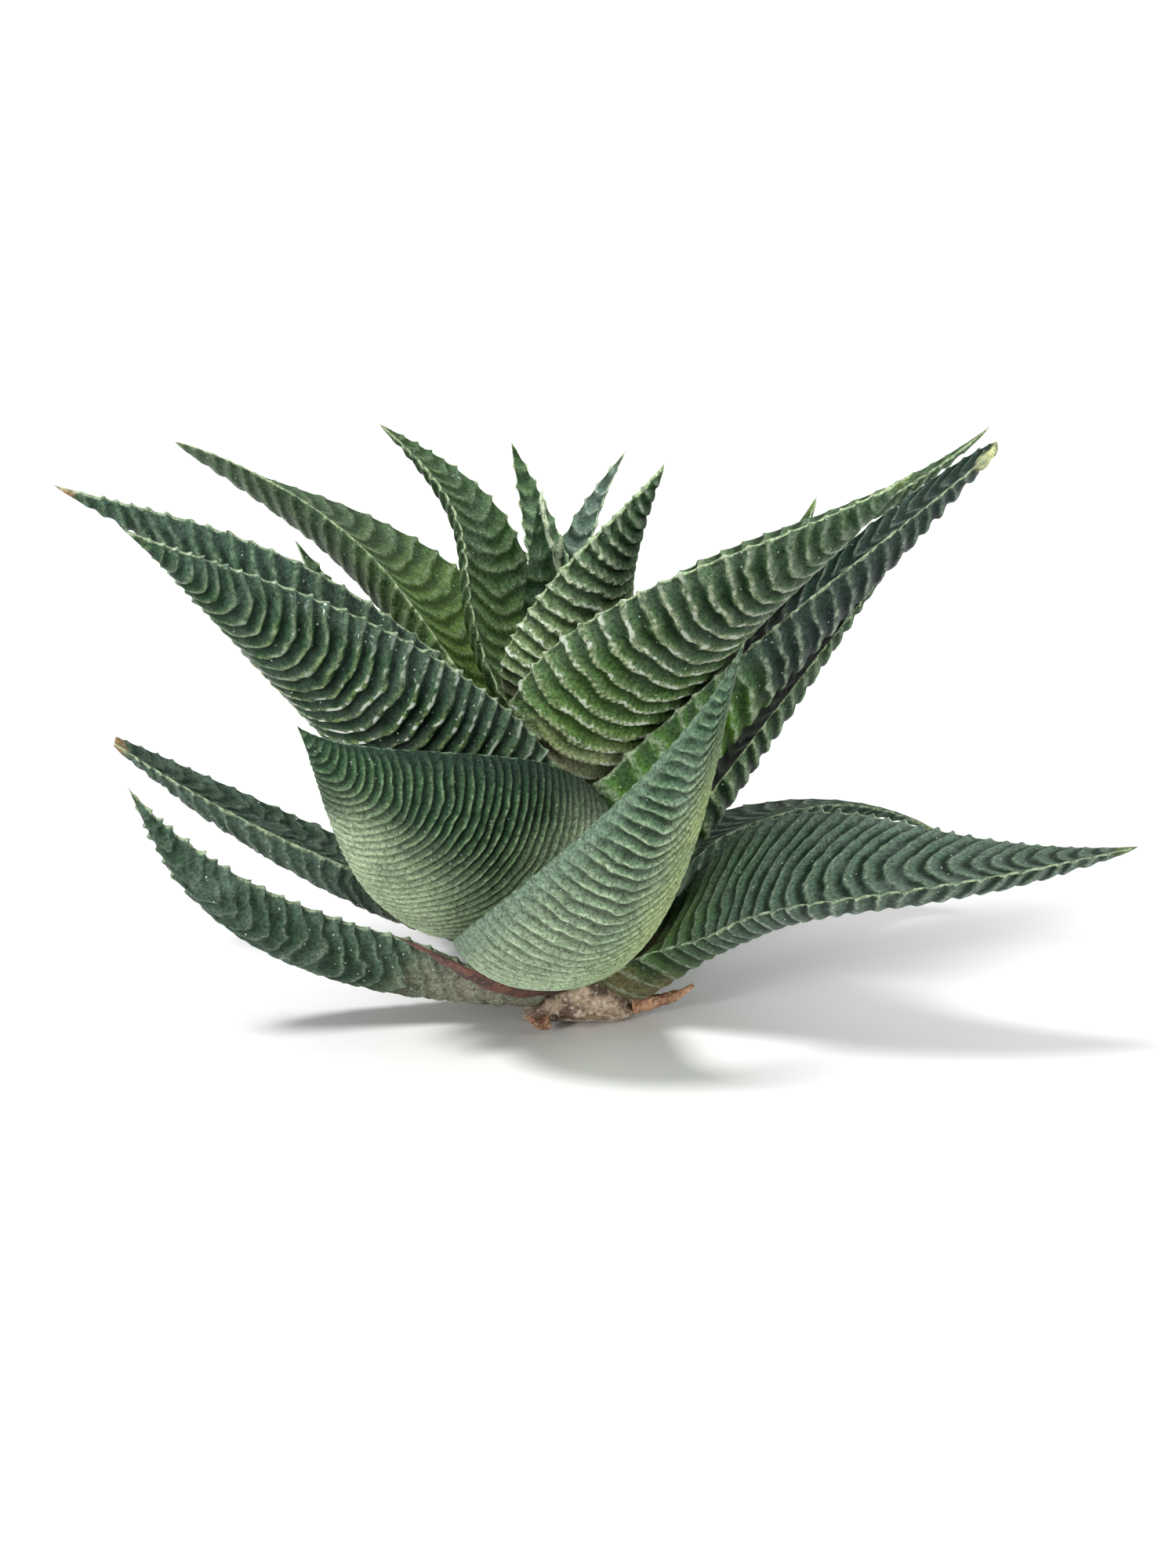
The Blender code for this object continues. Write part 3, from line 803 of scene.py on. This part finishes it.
@dataclass
class Leaf:
    """One leaf, with the same driving sizes as its solid.

    It leaves the stem at the height seat, towards azimuth and rise, and comes to its point along those of
    the point. roll turns it near its foot and twist along all of it. The pulls say how straight its two
    ends are, taper and fullness how it narrows, hug how it wraps the stem, and cut where it ends.
    """

    name: str
    azimuth: float
    seat: float
    rise: float
    point: tuple
    point_azimuth: float
    point_rise: float
    width: float
    thickness: float
    ridges: int
    finish: Finish
    roll: float = 0.0
    twist: float = 0.0
    pull: float = 0.4
    point_pull: float = 0.4
    taper: float = 1.1
    fullness: float = 1.0
    hug: float = 1.0
    cut: float = 1.0
    relief: Ridges = field(default_factory=Ridges)
    around: int = 52

    FOOT_GAP = 0.3
    STEPS = 400
    FINE_STEPS = 2000
    FREE_FROM = 0.35
    ROLL_BY = 0.3
    MAX_WRAP = 1.9
    LAST_RING = 0.985
    CAD_LAST_RING = 0.965

    def trace(self, stem: Stem) -> None:
        """Find the centre line with its directions and sides, from foot to point.

        Args:
            stem: The stem that the leaf grows from.
        """
        self.stem = stem
        foot = stem.axis(self.seat) + heading(self.azimuth, 0.0) * (stem.radius(self.seat) + self.FOOT_GAP)
        self.tip = point = np.array(self.point, float)
        chord = np.linalg.norm(point - foot)
        rising = foot + heading(self.azimuth, self.rise) * self.pull * chord
        arriving = point - heading(self.point_azimuth, self.point_rise) * self.point_pull * chord
        line, slope = curve((foot, rising, arriving, point), np.linspace(0.0, 1.0, self.FINE_STEPS + 1))
        lengths = np.concatenate([[0.0], np.cumsum(np.linalg.norm(np.diff(line, axis=0), axis=1))])
        even = np.linspace(0.0, lengths[-1], self.STEPS + 1)
        self.centres, self.slopes = read_off(even, lengths, line), unit(read_off(even, lengths, slope))
        around = math.radians(self.azimuth)
        side = np.array((math.cos(around), math.sin(around), 0.0))
        sides = []
        for i, ahead in enumerate(self.slopes):
            share = i / self.STEPS
            side = unit(side - ahead * side.dot(ahead))
            turn = math.radians(self.roll * float(smooth(share / self.ROLL_BY)) + self.twist * share)
            sides.append(side * math.cos(turn) + np.cross(ahead, side) * math.sin(turn))
        self.sides = np.array(sides)
        steps = np.linspace(0.0, 0.995, 200)
        self.widest = self.width_share(steps).max()
        self.thickest = self.thickness_share(steps).max()

    def width_share(self, t: Array) -> Array:
        """Half width along the leaf, before it is scaled to its widest."""
        t = np.clip(t, 0.0, 0.999)
        return (t + 0.08) ** 0.35 * (1.0 - t**self.fullness) ** self.taper

    def thickness_share(self, t: Array) -> Array:
        """Thickness along the leaf, before it is scaled to its thickest."""
        t = np.clip(t, 0.0, 0.999)
        return (t + 0.10) ** 0.45 * (1.0 - t) ** 0.80

    def half_width(self, t: Array) -> Array:
        """Half the width at the shares t."""
        return self.width / 2.0 * self.width_share(t) / self.widest

    def thickness_at(self, t: Array) -> Array:
        """Thickness of the middle at the shares t."""
        return self.thickness * self.thickness_share(t) / self.thickest

    def skin(self, t: Array, u: Share, back: Share, lift: Share = 0.0, edge: Share = 0.0) -> Array:
        """Places on the leaf's skin.

        Args:
            t: Shares along the leaf.
            u: Places across it, from -1 at one margin to 1 at the other.
            back: 1 on the back and 0 on the upper face.
            lift: How far the skin stands out there.
            edge: How far the margin stands out there.

        Returns:
            One place for each.
        """
        half = self.half_width(t)
        half = np.maximum(half + edge, half * 0.5)
        steps = np.arange(self.STEPS + 1) / self.STEPS
        centre, slope, side = (read_off(t, steps, rows) for rows in (self.centres, self.slopes, self.sides))
        slope = unit(slope)
        side = square(side, slope)
        normal = np.cross(slope, side)
        outward = centre - self.stem.axis(centre[:, 2])
        bend = self.hug / np.maximum(np.linalg.norm(outward, axis=1), 1.0)
        free = smooth(t / self.FREE_FROM)[:, None]
        fold = square(normal * free - unit(outward) * (1.0 - free), side)
        angle = np.clip(u * half * bend, -self.MAX_WRAP, self.MAX_WRAP)
        place = centre + side * (np.sin(angle) / bend)[:, None]
        place = place + fold * ((1.0 - np.cos(angle)) / bend)[:, None]
        lean = free[:, 0] * angle
        facing = normal * np.cos(lean)[:, None] - side * np.sin(lean)[:, None]
        bulge = (1.0 - np.minimum(np.abs(u), 1.0) ** 2.2) ** 0.75
        out = np.where(back > 0.5, -(self.thickness_at(t) * bulge + lift), lift)
        return place + facing * out[:, None]

    def upper_side(self) -> float:
        """1 where the margin at u = 1 is the higher one, otherwise -1."""
        right, left = (self.skin(np.linspace(0.3, 0.8, 6), u, 0.0)[:, 2].mean() for u in (1.0, -1.0))
        return 1.0 if right > left else -1.0

    def point_place(self, last: float) -> Array:
        """Find where the leaf closes: at its point, or in the middle of the dry end of a cut one.

        Args:
            last: The share along the leaf of its last ring.

        Returns:
            The place.
        """
        if self.cut >= 1.0:
            return self.tip
        upper, under = (self.skin(np.array([last]), 0.0, back)[0] for back in (0.0, 1.0))
        return (upper + under) / 2.0

    def build(self, effects: Effects, stem: Stem, seed: int) -> None:
        """Model and dress the leaf.

        Args:
            effects: The shared effects.
            stem: The stem that the leaf grows from.
            seed: Makes the leaf's own unevenness.
        """
        self.trace(stem)
        rows = self.ridges * self.relief.rows
        piece, turn, share = flat_sheet(self.name + "_skin", self.around, rows)
        last = min(self.LAST_RING, self.cut)
        t = np.minimum(share * rows / (rows - 1.0) * last, last)
        relief = Relief(self, turn, t, Lattice(seed))
        places = self.skin(relief.t_skin, relief.u, relief.back, relief.lift(), relief.edge())
        places[share > 1.0 - 0.5 / rows] = self.point_place(last)
        wrap_sheet(piece, places, relief.marks())
        place_piece(piece, self.finish, effects, self.name)


class Relief:
    """Relief of one leaf, at each vertex of its sheet."""

    EVEN, CROWDED = 0.55, 0.45  # how far the vertices lie evenly across, or crowd at the margins
    SWEEP_POWER = 1.6
    GROWS, FADES = 0.07, 0.12  # shares over which the ridges grow at the foot and fade at the point
    BEADS_FADE = 0.25
    MARGIN = 0.20

    def __init__(self, leaf: Leaf, turn: Array, t: Array, noise: Lattice) -> None:
        """Lay the vertices over the leaf and count its ridges.

        Args:
            leaf: The traced leaf.
            turn: Each vertex's share around the leaf, with the upper face first.
            t: Its share along the leaf.
            noise: The leaf's own unevenness.
        """
        self.leaf, self.ridges, self.noise, self.t = leaf, leaf.relief, noise, t
        self.back = (turn > 0.5).astype(float)
        half_turn = np.where(turn > 0.5, 2.0 - 2.0 * turn, 2.0 * turn)
        self.u = self.EVEN * (2.0 * half_turn - 1.0) - self.CROWDED * np.cos(math.pi * half_turn)
        sweep = np.where(self.u < 0.0, self.ridges.sweep_left, self.ridges.sweep_right)
        sweep = sweep * smooth(t / 0.15) * smooth((1.0 - t) / 0.3)
        self.t_skin = np.minimum(t + sweep * np.abs(self.u) ** self.SWEEP_POWER, 0.999)
        self.level = leaf.skin(self.t_skin, self.u, self.back)
        self.rim = (1.0 - np.abs(self.u)) * leaf.half_width(self.t_skin)
        self.fade = smooth(t / self.GROWS) * smooth((1.0 - t) / self.FADES)
        self.inner = smooth(self.rim / self.ridges.flat_rim)
        wobble = self.uneven(2.6) + 0.5 * self.uneven(0.8, 50.0)
        self.count = leaf.ridges * t / min(leaf.CAD_LAST_RING, leaf.cut) + self.ridges.wobble * wobble
        self.within = self.count - np.floor(self.count)
        self.own = np.modf(np.abs(np.sin(np.floor(self.count) * 12.9898 + self.back * 4.0)) * 437.585)[0]

    def uneven(self, size: float, apart: float = 0.0) -> Array:
        """The leaf's unevenness of one size, read this far from its other ones."""
        return self.noise.at(self.level + apart, size)

    def depth(self) -> Array:
        """How far the valleys lie below the crests.

        Returns:
            The depth, which the leaf's thickness limits.
        """
        ridges = self.ridges
        depth = np.where(self.back > 0.5, ridges.depth, ridges.upper_depth)
        depth = depth * (1.0 + 0.3 * self.uneven(4.0, 80.0))
        depth = depth * (ridges.foot_share + (1.0 - ridges.foot_share) * smooth(self.t / 0.5))
        low_side = smooth((-self.u * self.leaf.upper_side() - 0.1) / 0.7)
        depth = depth * (1.0 - (1.0 - ridges.low_share) * low_side)
        return np.minimum(depth, 0.25 * self.leaf.thickness_at(self.t_skin) + 0.05)

    def lift(self) -> Array:
        """How far the skin stands out.

        Returns:
            The height over the crests, with the grit.
        """
        falling = np.maximum(self.within - STEEP, 0.0) / (1.0 - STEEP)
        wave = 0.5 + 0.5 * np.cos(math.pi * falling)
        wave = np.where(self.within < STEEP, smooth(self.within / STEEP), wave)
        lift = -self.depth() * (1.0 - wave**self.ridges.sharp) * self.fade * self.inner
        return lift + self.ridges.grit * self.uneven(0.6, 33.0) * self.inner * self.fade

    def edge(self) -> Array:
        """How far the margin stands out.

        Returns:
            Its teeth and the scallops between them.
        """
        top = 0.5 + 0.5 * np.cos(math.tau * (self.within - STEEP))
        margin = smooth((np.abs(self.u) - 0.80) / self.MARGIN)
        tooth = self.ridges.tooth * (0.6 + 0.8 * self.own) * top**6
        edge = margin * self.fade * (tooth - self.ridges.scallop * (1.0 - top))
        return edge + margin * 0.07 * self.uneven(0.45, 66.0)

    def marks(self) -> dict[Mark, Array]:
        """Numbers for the leaf's material.

        Returns:
            What each vertex carries.
        """
        first = 1.0 - smooth((self.t - self.ridges.bead_to + self.BEADS_FADE) / self.BEADS_FADE)
        across = self.u * self.leaf.half_width(self.t_skin)
        return {
            Mark.RIDGE: self.count,
            Mark.ALONG: self.t_skin,
            Mark.RIM: self.rim,
            Mark.UPPER_SIDE: self.u * self.leaf.upper_side(),
            Mark.BACK: self.back,
            Mark.BEADS: self.fade * self.inner * self.back * first,
            Mark.BEAD_TURN: across / self.ridges.bead_every + self.own + 0.4 * self.uneven(1.5, 20.0),
        }


@dataclass
class Root:
    """A dried root: a bent tube along four points, which thins to its end."""

    name: str
    path: tuple
    radius: float
    end_share: float = 0.25
    around: int = 36
    rows: int = 52

    def build(self, effects: Effects, seed: int) -> None:
        """Model and dress the root.

        Args:
            effects: The shared effects.
            seed: Makes the root's own unevenness.
        """
        piece, turn, share = flat_sheet(self.name + "_fibre", self.around, self.rows)
        line, ahead = curve([np.array(point, float) for point in self.path], share)
        side = unit(np.cross(ahead, (0.0, 0.0, 1.0)))
        rise = np.cross(side, ahead)
        angle = turn[:, None] * math.tau
        out = side * np.cos(angle) + rise * np.sin(angle)
        radius = self.radius * (1.0 + (self.end_share - 1.0) * share)
        noise = Lattice(seed)
        place = line + out * radius[:, None]
        radius = radius * (0.92 + 0.22 * noise.at(place, 0.9) + 0.12 * noise.at(place, 0.35))
        wrap_sheet(piece, line + out * radius[:, None], {})
        place_piece(piece, ROOT, effects, self.name)


FINE = Ridges(
    depth=0.30, upper_depth=0.16, sharp=1.3, wobble=0.24, tooth=0.05, scallop=0.05, flat_rim=1.3,
    sweep_left=0.09, sweep_right=0.09, foot_share=0.5, low_share=0.5, rows=9,
)
KEELED = replace(FINE, sweep_left=-0.01, sweep_right=0.14)
ROLLS = Ridges(depth=0.60, sharp=0.9, wobble=0.21, bead_to=0.50, tooth=0.35, scallop=0.12, rows=11)
STEPS = Ridges(depth=0.42, upper_depth=0.22, wobble=0.22, tooth=0.52, scallop=0.14, rows=9)
LOW_STEPS = replace(STEPS, depth=0.30)
PEBBLY = Ridges(
    depth=0.27, upper_depth=0.22, sharp=0.8, wobble=0.42, tooth=0.40, scallop=0.16, grit=0.16, rows=10,
)
SLIGHT = Ridges(depth=0.22, upper_depth=0.16, tooth=0.2, scallop=0.15, rows=9)

# Each leaf: its name; azimuth, seat and rise at its foot; its point and the azimuth and rise there; its
# width, thickness and number of ridges; its finish; and what differs from the usual leaf.
LEAVES = (
    # lowest ring, with the withered sheath between its leaves
    Leaf("leaf_low_left", -87, 3.8, 8, (-47, -19, 31.5), -70, 60, 10.6, 3.4, 22, ROUGH, roll=30,
         twist=35, pull=0.5, point_pull=0.3, taper=1.2, fullness=1.7, hug=0.8, relief=PEBBLY, around=84),
    Leaf("dry_sheath", -42, 5, 0, (-19, -22, 16), -55, 26, 7.5, 1, 6, SHEATH, roll=-5, pull=0.35,
         point_pull=0.35, relief=replace(SLIGHT, rows=12), around=48),
    Leaf("leaf_low_right", 76, 5.5, 46, (59, -23, 26), 95, 6, 16.8, 5.5, 28, GROOVED, roll=35, twist=-55,
         pull=0.45, point_pull=0.6, taper=0.9, fullness=1.8, hug=0.5,
         relief=replace(STEPS, depth=0.30, wobble=0.16), around=104),
    Leaf("leaf_low_left_upper", -107, 9.5, 13, (-53.8, 16, 28.6), -80, 32, 9.7, 4.6, 22, WITHERED,
         roll=5, pull=0.35, taper=0.78, fullness=2.3, hug=1.3, cut=0.955, relief=PEBBLY, around=84),
    Leaf("leaf_low_right_behind", 136, 8, 70, (42.5, 33, 12), 55, -20, 14.5, 3.6, 20, DEEP, roll=-15,
         twist=20, pull=0.2, fullness=1.2, hug=0.8, relief=STEPS, around=64),
    Leaf("leaf_low_back", 170, 3.8, 8, (13, 52, 24), 170, 38, 15, 3.2, 16, DEEP, roll=10, twist=5,
         taper=1.05, fullness=1.6, hug=0.7),
    Leaf("leaf_low_back_left", -145, 5.9, 20, (-26, 46, 15), -145, 36, 12, 2.4, 14, DEEP, roll=-15,
         twist=-15, point_pull=0.35, taper=1, fullness=1.7, hug=0.9),
    Leaf("leaf_low_back_right", 148, 6.1, 24, (35, 36, 11), 130, 26, 5.5, 3, 14, DEEP, point_pull=0.35,
         taper=1.05, fullness=1.8, around=40),
    # broad leaves at the front and the outer ones beside and behind them
    Leaf("leaf_front_right", -16, 8.5, 16, (17.5, -39, 53), 80, 70, 19.5, 4, 46, LIGHT, roll=15,
         twist=-40, pull=0.5, point_pull=0.65, taper=1.7, fullness=1.8, hug=0.5, relief=KEELED,
         around=120),
    Leaf("leaf_front_left", -19, 12, 46, (-28.6, -26, 39.8), -105, 48, 26, 4.8, 42, PALE, roll=40,
         twist=-10, pull=0.25, point_pull=0.25, taper=1.35, fullness=2.2, hug=0.5,
         relief=replace(FINE, foot_share=0.3, low_share=0.2), around=104),
    Leaf("leaf_right_outer", 97, 12, 54, (34, 5, 49.5), 95, 46, 12.4, 3.4, 20, GREY, roll=5, twist=-5,
         taper=1.05, fullness=1.8, hug=0.9, relief=STEPS, around=64),
    Leaf("leaf_back_left", -135, 13, 26, (-32.5, 35, 46.5), -130, 44, 12, 3.4, 16, GREY, pull=0.35,
         fullness=1.5),
    Leaf("leaf_back_right", 163, 16, 30, (28, 38, 51), 130, 54, 12, 4.6, 16, GREY, roll=-15, twist=-10,
         taper=1.05, fullness=1.6, hug=1.1),
    # long leaves of the middle ring
    Leaf("leaf_left_front", -59, 17.5, 48, (-46.5, -23, 60), -70, 34, 22, 4.4, 34, GLOSSY, roll=30,
         twist=20, pull=0.45, point_pull=0.5, taper=1.3, fullness=1.4, hug=0.5,
         relief=replace(ROLLS, bead_to=0.3), around=140),
    Leaf("leaf_left_long", -84, 22.5, 50, (-57.5, 12, 57.5), -100, 18, 17.8, 4.4, 24, BROWN_TIP, roll=25,
         pull=0.45, point_pull=0.45, taper=1.15, fullness=1.5, hug=0.8, relief=STEPS, around=80),
    Leaf("leaf_right_long", 62, 20.5, 58, (46, -3, 65.4), 30, 28, 17.6, 5.2, 24, BRIGHT_FOOT, roll=10,
         twist=20, point_pull=0.3, taper=0.85, fullness=1.4, hug=0.8, cut=0.955, relief=STEPS, around=96),
    Leaf("leaf_back_middle", -164, 19.5, 44, (-1, 44, 40), 180, 44, 9.5, 4, 14, GREY, roll=-5,
         fullness=1.4),
    # upper ring
    Leaf("leaf_right_front", 32, 26, 64, (35, -21, 65.5), 75, 40, 23.5, 3.8, 25, BEADED, roll=-5,
         twist=10, pull=0.45, point_pull=0.35, taper=1.25, fullness=1.3, hug=0.7, relief=ROLLS,
         around=160),
    Leaf("leaf_right_top", 92, 30, 64, (46.8, 25, 61.7), 110, 34, 15.4, 3.2, 22, GREY, roll=25,
         twist=-20, pull=0.5, hug=0.8, relief=STEPS, around=64),
    Leaf("leaf_left_top", -132, 27.5, 46, (-45, 23, 60.2), -100, 20, 17.9, 4.8, 22, LONG_FOOT, twist=40,
         pull=0.45, point_pull=0.5, taper=0.65, fullness=1.9, hug=0.9, relief=LOW_STEPS, around=88),
    # crown and heart
    Leaf("leaf_crown_left", -140, 33.5, 38, (-22, 22, 62.5), -115, 26, 11.5, 3.8, 18, CROWN, roll=10,
         twist=10, pull=0.5, point_pull=0.6, fullness=1.4, hug=0.5, relief=LOW_STEPS, around=80),
    Leaf("leaf_crown_front", 29, 35, 74, (9.5, -9, 64), 85, 54, 17.5, 4, 19, PALE_BEADED, roll=5,
         twist=25, point_pull=0.55, taper=1.25, fullness=1.1, hug=0.5,
         relief=replace(ROLLS, bead_every=0.95, bead_to=0.8), around=104),
    Leaf("leaf_crown_back", 182, 39, 78, (-7.2, 24, 60), -105, 70, 4.6, 2.4, 10, GREY, roll=5, pull=0.35,
         point_pull=0.35, taper=0.9, fullness=1.9, relief=SLIGHT, around=44),
    Leaf("leaf_crown_right", 160, 35.5, 72, (5.8, 25, 58.9), 110, 52, 5.2, 2.6, 12, BLUISH, roll=5,
         twist=10, pull=0.35, point_pull=0.5, fullness=1.4, relief=SLIGHT, around=44),
    Leaf("leaf_heart_left", -85, 39, 90, (-3.5, 0, 59.5), -90, 86, 4.5, 2.2, 8, HEART, roll=15, twist=5,
         fullness=1.2, relief=SLIGHT, around=40),
    Leaf("leaf_heart_right", 85, 39, 86, (-1.5, 3, 54), 90, 74, 4.5, 2, 6, HEART, roll=-5, twist=-5,
         taper=1.15, relief=SLIGHT, around=40),
)

ROOTS = (
    Root("dry_root_right", ((6.5, -1.2, 1.7), (9.2, -1.8, 2.2), (11.6, -2.2, 3.0), (13.0, -2.4, 4.3)), 1.1),
    Root("dry_root_left", ((-3.2, -6.2, 1.3), (-3.9, -7.0, 1.2), (-4.6, -7.6, 1.7), (-5.1, -7.9, 2.6)), 0.9),
)


@dataclass(frozen=True)
class Lamp:
    """A large far lamp: where it stands, how wide it looks from the plant, in degrees, and its strength."""

    name: str
    azimuth: float
    rise: float
    spread: float
    strength: float


@dataclass
class Studio:
    """The camera, the floor and the light."""

    target: tuple = (1.43, 0.0, 26.6)
    distance: float = 500.0
    rise: float = 15.0
    lens: float = 105.0
    sensor: float = 36.0
    floor_size: float = 6000.0
    floor_light: float = 0.9
    floor_roughness: float = 0.9
    sky: float = 0.36
    lamps: tuple = (
        Lamp("key_lamp", azimuth=-38.0, rise=56.0, spread=16.0, strength=2.6),
        Lamp("gloss_lamp", azimuth=-34.0, rise=14.0, spread=6.0, strength=1.1),
        Lamp("fill_lamp", azimuth=55.0, rise=35.0, spread=70.0, strength=1.2),
        Lamp("back_lamp", azimuth=165.0, rise=58.0, spread=60.0, strength=0.8),
    )

    def build(self) -> None:
        """Set up the camera, the floor, the lamps and the sky."""
        self.add_camera()
        self.add_floor()
        for lamp in self.lamps:
            self.add_lamp(lamp)
        world = bpy.data.worlds.new("soft_sky")
        world.use_nodes = True
        sky = world.node_tree.nodes["Background"].inputs
        sky["Color"].default_value = (1.0, 1.0, 1.0, 1.0)
        sky["Strength"].default_value = self.sky
        bpy.context.scene.world = world
        bpy.context.scene.view_settings.view_transform = "Standard"
        LOG.info("studio: camera %.0f mm away, %d lamps", self.distance, len(self.lamps))

    def stand(self, data: bpy.types.ID, azimuth: float, rise: float) -> Object:
        """Stand a camera or lamp around the target and turn it to face that.

        Args:
            data: The camera or lamp.
            azimuth: Where it stands.
            rise: How high, in degrees.

        Returns:
            Its object.
        """
        thing = bpy.data.objects.new(data.name, data)
        bpy.context.scene.collection.objects.link(thing)
        thing.location = (np.array(self.target) + heading(azimuth, rise) * self.distance) * MM
        thing.rotation_euler = (math.radians(90.0 - rise), 0.0, math.radians(azimuth))
        return thing

    def add_camera(self) -> None:
        """Camera at the photograph's viewing angle."""
        data = bpy.data.cameras.new("camera")
        data.lens, data.sensor_width = self.lens, self.sensor
        data.clip_start, data.clip_end = 0.01, 20.0
        bpy.context.scene.camera = self.stand(data, 0.0, self.rise)

    def add_floor(self) -> None:
        """Plain pale floor."""
        bpy.ops.object.select_all(action="DESELECT")
        bpy.ops.mesh.primitive_plane_add(size=self.floor_size * MM, location=(0.0, 0.0, 0.0))
        floor = bpy.context.object
        floor.name = "floor"
        material = bpy.data.materials.new("pale_floor")
        material.use_nodes = True
        shader = material.node_tree.nodes["Principled BSDF"]
        shader.inputs["Base Color"].default_value = (*(self.floor_light,) * 3, 1.0)
        shader.inputs["Roughness"].default_value = self.floor_roughness
        floor.data.materials.append(material)

    def add_lamp(self, lamp: Lamp) -> None:
        """One far soft lamp.

        Args:
            lamp: Its place, spread and strength.
        """
        data = bpy.data.lights.new(lamp.name, "SUN")
        data.energy = lamp.strength
        data.angle = math.radians(lamp.spread)
        self.stand(data, lamp.azimuth, lamp.rise)


def main() -> None:
    """Load the frame, build every piece and note the sizes."""
    logging.basicConfig(level=logging.INFO, format="%(message)s")
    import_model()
    Studio().build()
    effects = Effects()
    stem = Stem()
    stem.build(effects)
    for seed, root in enumerate(ROOTS):
        root.build(effects, seed + 40)
    for seed, leaf in enumerate(LEAVES):
        leaf.build(effects, stem, seed + 100)


if __name__ == "__main__":
    main()
